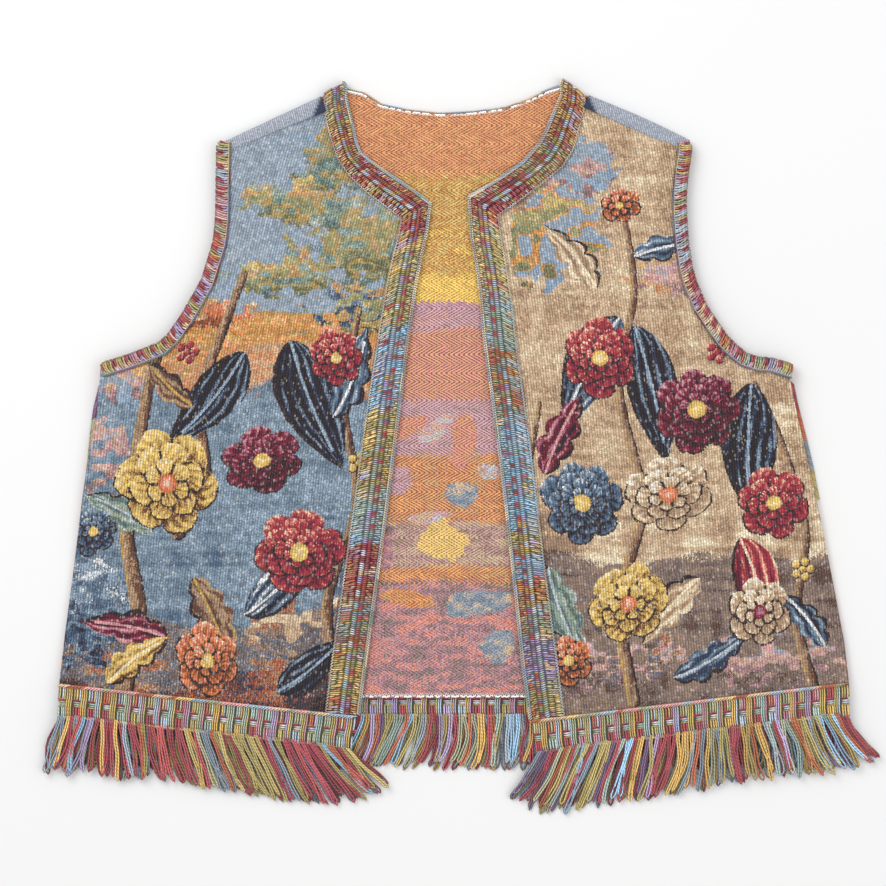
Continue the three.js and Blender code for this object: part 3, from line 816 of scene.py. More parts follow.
@dataclass(frozen=True)
class PaperFinish(Finish):
    """The pale floor."""

    shade: float = 0.93

    def build(self) -> bpy.types.Material:
        """Makes the material."""
        material, g, shader = self.start()
        where = g.object_place()
        tone = g.spread(g.noise(where, 3.0), 0.3, 0.7, self.shade - 0.004, self.shade + 0.004)
        g.feed(shader.inputs["Base Color"], grey_of(g, tone))
        return material


@dataclass
class Wardrobe:
    """Every material of the vest, built once."""

    face: bpy.types.Material = field(init=False)
    inside: bpy.types.Material = field(init=False)
    yarn: bpy.types.Material = field(init=False)
    thread: bpy.types.Material = field(init=False)
    shoulder: bpy.types.Material = field(init=False)
    floor: bpy.types.Material = field(init=False)

    def __post_init__(self) -> None:
        """Builds the groups and the finishes."""
        ply = ply_group()
        self.face = TapestryFinish("tapestry_face", specular=0.3, sheen=0.1).build(tapestry_weave_group())
        self.inside = FloatFinish("tapestry_inside", sheen=0.15).build(float_rows_group())
        self.yarn = YarnFinish("acrylic_yarn", roughness=0.8, sheen=0.2).build(ply)
        thread = YarnFinish("overlock_thread", roughness=0.7, ply_depth=0.05 * MM, ply_shade=0.9)
        self.thread = thread.build(ply)
        self.shoulder = PlainClothFinish("shoulder_cloth", roughness=0.8).build()
        self.floor = PaperFinish("paper_floor", roughness=0.9, sheen=0.0).build()


# ---------------------------------------------------------------- figured design


class Canvas:
    """The quarters of a woven face's cells, with the yarn that shows in each."""

    BAYER = np.array([[0, 8, 2, 10], [12, 4, 14, 6], [3, 11, 1, 9], [15, 7, 13, 5]]) / 16.0 + 1 / 32

    def __init__(self, x: Array, y: Array, ix: Array, iy: Array) -> None:
        """Keeps the places of the quarters.

        Args:
            x: across, in millimetres.
            y: along, in millimetres.
            ix: column of each quarter.
            iy: row of each quarter.
        """
        self.x, self.y, self.ix, self.iy = x, y, ix, iy
        self.colour = np.zeros((len(x), 3))
        self.strength = np.ones(len(x))
        order = self.BAYER[ix % 4, iy % 4] - 0.5
        dash = hashed(ix, iy // 3, 5) - 0.5
        self.grain = 0.35 * order + 0.35 * (hashed(ix, iy, 6) - 0.5) + 0.3 * dash

    def local(self, x: float, y: float, turn: float) -> tuple[Array, Array]:
        """Places measured from a point, along and across a direction in degrees."""
        c, s = math.cos(math.radians(turn)), math.sin(math.radians(turn))
        dx, dy = self.x - x, self.y - y
        return dx * c + dy * s, dy * c - dx * s

    def rough(self, size: float, seed: int) -> Array:
        """Uneven numbers from -1 to 1 that make a woven edge ragged."""
        return 2 * cloud(self.x, self.y, size, size, seed) - 1 + 0.5 * self.grain

    def shade(self, where: Array, tone: Array | float, ramp: Ramp, mingled: float = 1.7) -> None:
        """Lays a ramp of yarns.

        Args:
            where: the quarters.
            tone: 0 dark to 1 light.
            ramp: the yarns.
            mingled: how many neighbouring tones are mixed.
        """
        table = ramp.table
        level = np.broadcast_to(np.asarray(tone, float), self.x.shape)[where] * len(table)
        pick = np.clip(np.floor(level + self.grain[where] * 2 * mingled), 0, len(table) - 1).astype(int)
        self.colour[where] = table[pick]


class Motif:
    """Something that can be woven into a canvas."""

    def paint(self, canvas: Canvas) -> None:
        """Weaves the motif."""
        raise NotImplementedError


@dataclass(frozen=True)
class Leaf(Motif):
    """A long leaf with a bent midrib and streaks that run along it, dark on its under side."""

    x: float
    y: float
    turn: float
    length: float
    width: float
    ramp: Ramp
    bend: float = 0.12
    lobes: int = 0
    streaks: float = 3.0

    def paint(self, canvas: Canvas) -> None:
        """Weaves the leaf."""
        along, across = canvas.local(self.x, self.y, self.turn)
        u = np.clip(along / self.length, 0, 1)
        across = across - self.bend * self.length * u * u
        half = self.width / 2 * np.sin(math.pi * u**0.78) ** 0.85
        if self.lobes:
            half = half * (0.62 + 0.38 * np.abs(np.sin(math.pi * (u * self.lobes + 0.2))) ** 0.8)
        half = half + 0.7 * canvas.rough(5, int(self.length))
        inside = (along > 0) & (along < self.length) & (np.abs(across) < half)
        v = across / np.maximum(half, 1.0)
        wave = np.sin(math.pi * (v * self.streaks + 0.9 * np.sin(u * 5 + self.turn)))
        fine = cloud(along, across, 13, 1.7, int(self.turn) + 7)
        tone = 0.42 + 0.26 * wave + 0.24 * (fine - 0.5) * 2 + 0.12 * v
        canvas.shade(inside, tone, self.ramp, 1.2)
        canvas.shade(inside & (np.abs(across) < 0.9) & (u < 0.86), 0.95, self.ramp)
        shadow = inside & (half - across * -1 < 2.2 + canvas.rough(7, 3)) & (across < 0)
        canvas.shade(shadow, 0.2, Ramp.INK)


@dataclass(frozen=True)
class Bloom(Motif):
    """A full flower of several rings of petals."""

    x: float
    y: float
    radius: float
    ramp: Ramp
    petals: int = 6
    rings: int = 3
    turn: float = 0.0
    heart: Ramp = Ramp.GOLD

    def paint(self, canvas: Canvas) -> None:
        """Weaves the flower from its outer ring inwards."""
        along, across = canvas.local(self.x, self.y, self.turn)
        across = across * (1.08 + 0.16 * math.sin(self.x * 0.37 + self.y))
        reach, angle = np.hypot(along, across), np.arctan2(across, along)
        angle = angle + 0.16 * canvas.rough(22, self.petals + 40)
        reach = reach * (1 + 0.07 * canvas.rough(26, self.rings + 50)) + 0.8 * canvas.rough(4, self.petals)
        for ring in range(self.rings):
            outer = self.radius * (1 - ring / (self.rings + 0.75))
            inner = self.radius * (1 - (ring + 1.25) / (self.rings + 0.75))
            a = ((angle / TURN) * self.petals + ring * 0.5 + 0.13 * ring) % 1 - 0.5
            edge = outer * (0.74 + 0.26 * np.sqrt(np.clip(np.cos(math.pi * a), 0, 1)))
            inside = reach < edge
            rise = np.clip((reach - inner) / np.maximum(edge - inner, 1e-6), 0, 1)
            rays = np.sin(a * 26 + 3 * np.sin(reach * 0.3)) * 0.16
            tone = 0.2 + 0.5 * rise - 0.3 * np.abs(2 * a) ** 3
            tone = tone + 0.12 * np.cos(angle + math.radians(self.turn) - 2.2) + rays
            canvas.shade(inside, tone, self.ramp, 1.7)
            under = np.sin(angle + math.radians(self.turn)) < 0.35 + 0.5 * canvas.rough(9, ring)
            between = (np.abs(a) > 0.5 - 0.9 / np.maximum(reach, 4)) & (rise > 0.15)
            canvas.shade(inside & (((edge - reach < 1.4) & under) | between), 0.3, Ramp.INK)
        centre = self.radius * 0.2
        canvas.shade(reach < centre, 0.9 - 0.5 * reach / centre, self.heart)


@dataclass(frozen=True)
class Mass(Motif):
    """A soft mass of small far-off leaves with a broken edge."""

    x: float
    y: float
    long: float
    high: float
    ramps: tuple[Ramp, ...]
    turn: float = 0.0
    seed: int = 1

    def paint(self, canvas: Canvas) -> None:
        """Weaves the mass in patches, each of one ramp."""
        along, across = canvas.local(self.x, self.y, self.turn)
        reach = np.hypot(along / self.long, across / self.high)
        broken = reach + 0.36 * canvas.rough(11, self.seed) + 0.26 * canvas.rough(4.5, self.seed + 1)
        choice = cloud(canvas.x, canvas.y, 9, 5, self.seed + 2) + 0.12 * canvas.grain
        tone = 0.5 + 0.34 * across / self.high + 0.5 * (cloud(canvas.x, canvas.y, 6, 4, self.seed + 3) - 0.5)
        share = np.linspace(0.25, 0.75, len(self.ramps) + 1)
        share[0], share[-1] = -9, 9
        for low, high, ramp in zip(share[:-1], share[1:], self.ramps):
            canvas.shade((broken < 1) & (choice >= low) & (choice < high), tone, ramp, 2.2)


@dataclass(frozen=True)
class Stem(Motif):
    """A winding stem through a few points."""

    points: tuple[tuple[float, float], ...]
    thick: float
    ramp: Ramp

    def paint(self, canvas: Canvas) -> None:
        """Weaves the stem, thinner towards its end."""
        knots = np.array(self.points, float)
        knots = np.vstack([2 * knots[0] - knots[1], knots, 2 * knots[-1] - knots[-2]])
        path = []
        for p, q, r, s in zip(knots[:-3], knots[1:-2], knots[2:-1], knots[3:]):
            for t in np.linspace(0, 1, 10, endpoint=False):
                bend, twist = (2 * p - 5 * q + 4 * r - s) * t**2, (3 * q - p - 3 * r + s) * t**3
                path.append(0.5 * (2 * q + (r - p) * t + bend + twist))
        path.append(knots[-2])
        best = np.full(canvas.x.shape, 1e9)
        side = np.zeros(canvas.x.shape)
        for i, (a, b) in enumerate(zip(path[:-1], path[1:])):
            way = b - a
            t = np.clip(((canvas.x - a[0]) * way[0] + (canvas.y - a[1]) * way[1]) / (way @ way + 1e-9), 0, 1)
            dx, dy = canvas.x - a[0] - t * way[0], canvas.y - a[1] - t * way[1]
            thin = 1 - 0.55 * i / len(path)
            gap = np.hypot(dx, dy) / thin
            nearer = gap < best
            best[nearer] = gap[nearer]
            side[nearer] = np.sign(way[0] * dy - way[1] * dx)[nearer]
        half = self.thick / 2 + 0.5 * canvas.rough(4, 8)
        fine = cloud(canvas.x, canvas.y, 2.4, 14, 15)
        tone = 0.3 + 0.34 * side * np.clip(best / half, 0, 1) + 0.36 * fine
        canvas.shade(best < half, tone, self.ramp, 1.4)
        canvas.shade((best < half) & (best > half - 1.3) & (side < 0), 0.1, Ramp.INK)


@dataclass(frozen=True)
class Berries(Motif):
    """A small bunch of berries."""

    x: float
    y: float
    size: float
    ramp: Ramp

    def paint(self, canvas: Canvas) -> None:
        """Weaves the berries."""
        for k in range(6):
            cx = self.x + self.size * (0 if k == 0 else math.cos(k * TURN / 5))
            cy = self.y + self.size * (0 if k == 0 else math.sin(k * TURN / 5))
            dx, dy = canvas.x - cx, canvas.y - cy
            reach = np.hypot(dx, dy)
            canvas.shade((reach < self.size * 0.62) & (dy < dx), 0.2, Ramp.INK)
            canvas.shade(reach < self.size * 0.5, 0.5 + 0.5 * (dy - dx) / self.size, self.ramp)


@dataclass(frozen=True)
class Ground:
    """The streaked ground of a face: a band's upper level and its yarns."""

    level: float
    ramp: Ramp
    streak: float = 1.0


@dataclass(frozen=True)
class Design:
    """Leaves and flowers on a streaked ground with soft far-off foliage."""

    seed: int
    grounds: tuple[Ground, ...]
    motifs: tuple[Motif, ...]

    def weave(self, canvas: Canvas) -> None:
        """Weaves ground and motifs, then the unevenness of the yarn."""
        x, y = canvas.x, canvas.y
        level = y + 26 * (cloud(x, y, 60, 26, self.seed) - 0.5)
        level = level + 8 * (cloud(x, y, 14, 5, self.seed + 1) - 0.5) + 7 * canvas.grain
        flat = 0.5 * cloud(x, y, 42, 3.6, self.seed + 2) + 0.5 * cloud(x, y, 9, 30, self.seed + 3)
        rest = np.ones(x.shape, bool)
        for ground in (*self.grounds, Ground(1e9, self.grounds[-1].ramp)):
            here = rest & (level < ground.level)
            canvas.shade(here, 0.5 + ground.streak * (flat - 0.5), ground.ramp, 2.0)
            rest &= ~here
        for motif in self.motifs:
            motif.paint(canvas)
        worn = 0.84 + 0.3 * hashed(canvas.ix, canvas.iy, self.seed + 4)
        ply = 0.93 + 0.14 * hashed(canvas.ix // 2, canvas.iy // 9, self.seed + 5)
        canvas.colour *= (worn * ply)[:, None]
        glint = hashed(canvas.ix, canvas.iy // 2, self.seed + 6) > 0.978
        canvas.colour[glint] = 0.66 * canvas.colour[glint] + 0.34 * np.array(Yarn.CREAM.light)


@dataclass(frozen=True)
class Blot(Motif):
    """A patch on the inside where other yarns float."""

    x: float
    y: float
    long: float
    high: float
    turn: float
    ramp: Ramp
    strength: float

    def paint(self, canvas: Canvas) -> None:
        """Weaves the patch with a ragged edge."""
        along, across = canvas.local(self.x, self.y, self.turn)
        reach = np.hypot(along / self.long, across / self.high)
        here = reach + 0.3 * canvas.rough(14, int(self.long)) + 0.16 * canvas.rough(5, int(self.high)) < 1
        canvas.shade(here, cloud(canvas.x, canvas.y, 7, 3, 5), self.ramp, 1.0)
        canvas.strength[here] = self.strength


@dataclass(frozen=True)
class FloatBand:
    """A band of one mixture of floats on the inside: its upper level, yarns and how plain its strokes are."""

    level: float
    ramp: Ramp
    strength: float


@dataclass(frozen=True)
class InsideDesign:
    """The bands of floats across the inside of a panel, with patches in them."""

    bands: tuple[FloatBand, ...]
    blots: tuple[Blot, ...] = ()

    def weave(self, canvas: Canvas) -> None:
        """Weaves bands and patches."""
        level = canvas.y + 6 * (cloud(canvas.x, canvas.y, 40, 9, 71) - 0.5) + 8 * canvas.grain
        rest = np.ones(canvas.x.shape, bool)
        tone = cloud(canvas.x, canvas.y, 10, 3, 72)
        for band in self.bands:
            here = rest & (level < band.level)
            canvas.shade(here, tone, band.ramp, 1.0 + 2.4 * (1 - band.strength))
            canvas.strength[here] = band.strength
            rest &= ~here
        for blot in self.blots:
            blot.paint(canvas)


FOLIAGE = (Ramp.LEAF_GREEN, Ramp.DRY, Ramp.LEAF_GREEN, Ramp.LEAF_SEA)
THICKET = (Ramp.LEAF_GREEN, Ramp.LEAF_NAVY, Ramp.DRY)

LEFT_DESIGN = Design(
    seed=31,
    grounds=(
        Ground(-166, Ramp.EARTH),
        Ground(-120, Ramp.SOIL),
        Ground(-52, Ramp.WATER, 1.5),
        Ground(38, Ramp.WATER, 0.8),
        Ground(66, Ramp.HAZE),
        Ground(96, Ramp.AUTUMN),
        Ground(400, Ramp.SKY, 0.7),
    ),
    motifs=(
        Mass(-70, 206, 44, 24, FOLIAGE, 12, 3),
        Mass(-104, 168, 40, 15, FOLIAGE, -6, 5),
        Mass(-62, 138, 46, 26, FOLIAGE, 4, 7),
        Mass(-128, 118, 38, 11, FOLIAGE, 4, 9),
        Mass(-58, 96, 42, 18, THICKET, 0, 11),
        Mass(-176, 92, 32, 9, (Ramp.CORAL, Ramp.HAZE), 0, 12),
        Mass(-250, -8, 24, 34, (Ramp.BLUSH, Ramp.WATER), 0, 13),
        Mass(-232, 44, 20, 12, (Ramp.BLUSH, Ramp.SKY), 0, 14),
        Mass(-256, -112, 26, 40, (Ramp.BLUE, Ramp.WATER, Ramp.MOONLIT), 0, 15),
        Mass(-100, -130, 48, 20, (Ramp.WALL, Ramp.SOIL), 0, 16),
        Stem(((-236, -178), (-224, -120), (-232, -60), (-224, 0), (-214, 52), (-200, 88)), 13, Ramp.BARK),
        Stem(((-196, -60), (-178, -20), (-182, 30), (-164, 84), (-150, 120)), 11, Ramp.BARK),
        Stem(((-84, -178), (-92, -110), (-72, -40), (-80, 30), (-70, 96)), 9, Ramp.BARK),
        Leaf(-214, -60, 140, 54, 26, Ramp.LEAF_SEA, 0.2, 4),
        Leaf(-150, 66, -118, 82, 34, Ramp.MIDNIGHT, -0.2, 0, 5.0),
        Leaf(-118, 74, -76, 96, 44, Ramp.MIDNIGHT, 0.14, 0, 6.0),
        Leaf(-88, 20, 58, 66, 26, Ramp.BLUE, 0.2, 4),
        Leaf(-186, -92, -60, 74, 30, Ramp.LEAF_BROWN, -0.14, 5),
        Leaf(-150, -118, 34, 70, 28, Ramp.MOONLIT, 0.18, 0, 4.0),
        Leaf(-204, -134, 158, 60, 26, Ramp.ROSE, 0.2, 3),
        Leaf(-246, -166, 48, 54, 24, Ramp.GOLD, -0.2, 4),
        Leaf(-128, -172, 28, 60, 26, Ramp.MIDNIGHT, 0.2, 0, 4.0),
        Leaf(-186, 28, 146, 46, 20, Ramp.LEAF_BROWN, -0.2, 3),
        Bloom(-204, -26, 36, Ramp.GOLD, 6, 3, 20, Ramp.CORAL),
        Bloom(-138, -10, 30, Ramp.ROSE, 6, 4, 12),
        Bloom(-112, -74, 31, Ramp.CRIMSON_SILK, 6, 4, 40, Ramp.GOLD),
        Bloom(-176, -150, 24, Ramp.CORAL, 6, 3, 8),
        Bloom(-86, 62, 20, Ramp.CRIMSON_SILK, 7, 3, 30),
        Bloom(-256, -60, 19, Ramp.BLUE, 7, 3, 30),
        Berries(-190, 66, 5.5, Ramp.CRIMSON_SILK),
        Berries(-70, -12, 5.5, Ramp.GOLD),
    ),
)

RIGHT_DESIGN = Design(
    seed=57,
    grounds=(
        Ground(-150, Ramp.PAVING),
        Ground(-78, Ramp.PAVING, 1.5),
        Ground(-40, Ramp.WALL, 1.6),
        Ground(400, Ramp.WALL, 0.8),
    ),
    motifs=(
        Mass(60, 200, 30, 34, (Ramp.WALL, Ramp.BLUSH), 0, 21),
        Mass(84, 196, 26, 20, (Ramp.SKY, Ramp.BLUSH), 8, 22),
        Mass(66, 150, 34, 34, (Ramp.LEAF_GREEN, Ramp.AUTUMN, Ramp.SKY), 0, 23),
        Mass(150, 118, 30, 12, (Ramp.BLUSH, Ramp.HAZE), 0, 24),
        Mass(230, 6, 30, 26, (Ramp.WALL, Ramp.LEAF_CREAM), 0, 25),
        Mass(92, -150, 60, 20, (Ramp.PAVING, Ramp.BLUSH, Ramp.SOIL), 0, 26),
        Mass(214, -150, 50, 16, (Ramp.PAVING, Ramp.BLUSH), 0, 27),
        Stem(((250, -176), (236, -120), (242, -60), (226, 0), (206, 44)), 8, Ramp.LEAF_BROWN),
        Stem(((122, -178), (112, -110), (128, -40), (112, 40), (122, 110), (112, 176)), 9, Ramp.LEAF_BROWN),
        Stem(((58, -176), (64, -110), (48, -40), (56, 30)), 7, Ramp.BARK),
        Leaf(204, 44, -96, 96, 40, Ramp.MIDNIGHT, 0.12, 0, 5.0),
        Leaf(112, 90, -128, 84, 38, Ramp.BLUE, 0.2, 0, 5.0),
        Leaf(122, 84, -70, 98, 36, Ramp.MIDNIGHT, -0.12, 0, 5.0),
        Leaf(96, 110, 118, 56, 24, Ramp.LEAF_CREAM, 0.2, 4),
        Leaf(122, 132, 24, 44, 20, Ramp.BLUE, -0.2, 3),
        Leaf(60, -20, 74, 62, 28, Ramp.ROSE, -0.16, 4),
        Leaf(62, -84, -80, 70, 30, Ramp.LEAF_SEA, 0.2, 4),
        Leaf(196, -64, -64, 74, 32, Ramp.CRIMSON_SILK, -0.16, 0, 4.0),
        Leaf(168, -92, -140, 60, 26, Ramp.LEAF_CREAM, 0.16, 4),
        Leaf(256, -140, 118, 48, 22, Ramp.BLUE, 0.2, 4),
        Leaf(150, -162, 20, 60, 24, Ramp.LEAF_NAVY, 0.2, 4),
        Bloom(166, 26, 30, Ramp.ROSE, 7, 4, 24),
        Bloom(98, 62, 27, Ramp.CRIMSON_SILK, 6, 4, 0, Ramp.GOLD),
        Bloom(146, -34, 32, Ramp.IVORY, 6, 3, 10, Ramp.CORAL),
        Bloom(86, -40, 28, Ramp.BLUE, 7, 4, 34, Ramp.GOLD),
        Bloom(220, -40, 26, Ramp.CRIMSON_SILK, 6, 3, 16, Ramp.GOLD),
        Bloom(118, -110, 30, Ramp.GOLD, 6, 3, 44, Ramp.CORAL),
        Bloom(210, -116, 24, Ramp.IVORY, 6, 3, 12, Ramp.ROSE),
        Bloom(76, -150, 18, Ramp.CORAL, 6, 3, 0),
        Bloom(112, 168, 15, Ramp.CORAL, 6, 2, 12),
        Berries(180, 66, 5.5, Ramp.CRIMSON_SILK),
        Berries(240, -86, 5.5, Ramp.GOLD),
    ),
)

BACK_DESIGN = Design(
    seed=83,
    grounds=(
        Ground(-128, Ramp.SOIL),
        Ground(0, Ramp.WATER),
        Ground(96, Ramp.HAZE),
        Ground(400, Ramp.SKY, 0.7),
    ),
    motifs=(
        Mass(-120, 176, 60, 22, FOLIAGE, 6, 31),
        Mass(110, 168, 60, 26, FOLIAGE, -6, 33),
        Mass(0, 130, 60, 18, FOLIAGE, 0, 35),
        Stem(((-240, -160), (-150, -110), (-60, -130), (0, -60), (70, -120), (160, -100), (240, -150)), 8,
             Ramp.LEAF_BROWN),
        Stem(((0, -60), (-50, 0), (-20, 70), (-80, 130), (-60, 200)), 7, Ramp.BARK),
        Stem(((0, -60), (60, 10), (40, 90), (100, 150), (90, 200)), 7, Ramp.BARK),
        Leaf(-150, -110, 70, 76, 32, Ramp.MIDNIGHT, 0.2, 0, 5.0),
        Leaf(150, -105, 110, 76, 32, Ramp.LEAF_SEA, -0.2, 5),
        Leaf(-50, 0, 150, 80, 32, Ramp.LEAF_BROWN, 0.2, 5),
        Leaf(60, 10, 24, 80, 32, Ramp.LEAF_GREEN, -0.2, 5),
        Leaf(-40, 90, 160, 66, 28, Ramp.LEAF_SEA, 0.2, 4),
        Leaf(60, 110, 20, 66, 28, Ramp.MIDNIGHT, -0.2, 0, 4.0),
        Bloom(0, -60, 44, Ramp.ROSE, 7, 4),
        Bloom(-150, -30, 36, Ramp.BLUE, 6, 4, 20),
        Bloom(160, -20, 36, Ramp.GOLD, 6, 4, 10, Ramp.ROSE),
        Bloom(6, 66, 34, Ramp.CRIMSON_SILK, 7, 3, 30),
        Bloom(-90, 136, 30, Ramp.IVORY, 6, 3, 0, Ramp.ROSE),
        Bloom(104, 150, 30, Ramp.ROSE, 6, 3, 24),
        Bloom(-215, -110, 28, Ramp.CORAL, 6, 3),
        Bloom(215, -115, 28, Ramp.BLUE, 6, 3),
        Berries(-70, -70, 7, Ramp.GOLD),
        Berries(76, -60, 7, Ramp.CORAL),
    ),
)

BACK_INSIDE = InsideDesign(
    bands=(
        FloatBand(-96, Ramp.FLOAT_MAUVE, 0.36),
        FloatBand(-85, Ramp.FLOAT_ORANGE, 0.8),
        FloatBand(-52, Ramp.FLOAT_FAWN, 0.6),
        FloatBand(-6, Ramp.FLOAT_ORANGE, 0.9),
        FloatBand(33, Ramp.FLOAT_LILAC, 0.86),
        FloatBand(81, Ramp.FLOAT_CORAL, 0.95),
        FloatBand(99, Ramp.FLOAT_LILAC, 0.9),
        FloatBand(120, Ramp.FLOAT_YELLOW, 0.8),
        FloatBand(152, Ramp.FLOAT_GOLD, 0.85),
        FloatBand(190, Ramp.FLOAT_OCHRE, 0.9),
        FloatBand(999, Ramp.FLOAT_SALMON, 1.0),
    ),
    blots=(
        Blot(-34, 14, 16, 7, 20, Ramp.FLOAT_CORAL, 0.7),
        Blot(4, 4, 9, 18, -18, Ramp.FLOAT_CORAL, 0.8),
        Blot(-16, 12, 17, 6, 40, Ramp.FLOAT_PALE, 0.3),
        Blot(-44, -24, 13, 10, 30, Ramp.FLOAT_LILAC, 0.7),
        Blot(2, -34, 12, 8, -20, Ramp.FLOAT_GREY, 0.3),
        Blot(22, -18, 8, 6, 0, Ramp.FLOAT_PALE, 0.3),
        Blot(-20, -50, 15, 4, 6, Ramp.FLOAT_PALE, 0.4),
        Blot(-14, -66, 20, 13, 14, Ramp.FLOAT_YELLOW, 0.8),
        Blot(-56, -70, 12, 16, 0, Ramp.FLOAT_MAUVE, 0.2),
        Blot(12, -110, 26, 9, 10, Ramp.FLOAT_GREY, 0.25),
        Blot(-38, -106, 18, 6, -8, Ramp.FLOAT_ORANGE, 0.6),
        Blot(30, -140, 14, 10, 30, Ramp.FLOAT_GREY, 0.25),
    ),
)
FRONT_INSIDE = InsideDesign(
    bands=(
        FloatBand(-120, Ramp.FLOAT_MAUVE, 0.4),
        FloatBand(-40, Ramp.FLOAT_ORANGE, 0.8),
        FloatBand(30, Ramp.FLOAT_LILAC, 0.4),
        FloatBand(110, Ramp.FLOAT_CORAL, 0.9),
        FloatBand(999, Ramp.FLOAT_SALMON, 1.0),
    ),
)


# ---------------------------------------------------------------- cloth panels


@dataclass(frozen=True)
class Crease:
    """A soft ridge, or a trough where its height is negative, in millimetres and degrees."""

    x: float
    y: float
    along: float
    across: float
    height: float
    turn: float

    def lift(self, x: Array, y: Array) -> Array:
        """How far it raises the cloth, in metres."""
        c, s = math.cos(math.radians(self.turn)), math.sin(math.radians(self.turn))
        dx, dy = x / MM - self.x, y / MM - self.y
        u = (dx * c + dy * s) / self.along
        v = (dy * c - dx * s) / self.across
        return self.height * MM * np.exp(-(u**2) - v**2)


LEFT_CREASES = (
    Crease(-216, -96, 60, 9, -0.5, 74),
    Crease(-246, -110, 52, 11, 0.5, 82),
    Crease(-150, -128, 46, 10, -0.4, 100),
    Crease(-196, 2, 48, 10, 0.45, 60),
    Crease(-128, 30, 52, 12, -0.45, 112),
    Crease(-104, 132, 34, 9, 0.4, 70),
    Crease(-146, 156, 40, 8, -0.35, 84),
    Crease(-92, -46, 44, 9, 0.35, 82),
)
RIGHT_CREASES = (
    Crease(196, -104, 58, 10, -0.5, 104),
    Crease(232, -118, 40, 9, 0.45, 94),
    Crease(132, -134, 42, 10, 0.4, 74),
    Crease(176, 2, 52, 10, -0.45, 118),
    Crease(84, 24, 50, 10, 0.45, 96),
    Crease(136, 92, 38, 9, -0.4, 64),
    Crease(92, 166, 36, 8, 0.35, 106),
    Crease(70, -72, 40, 8, -0.35, 88),
)
BACK_CREASES = (
    Crease(-30, 150, 50, 12, 0.35, 12),
    Crease(30, 92, 44, 10, -0.3, 172),
    Crease(-24, -20, 56, 12, 0.4, 80),
    Crease(10, -92, 60, 12, -0.3, 96),
    Crease(-60, -130, 44, 10, 0.35, 10),
)


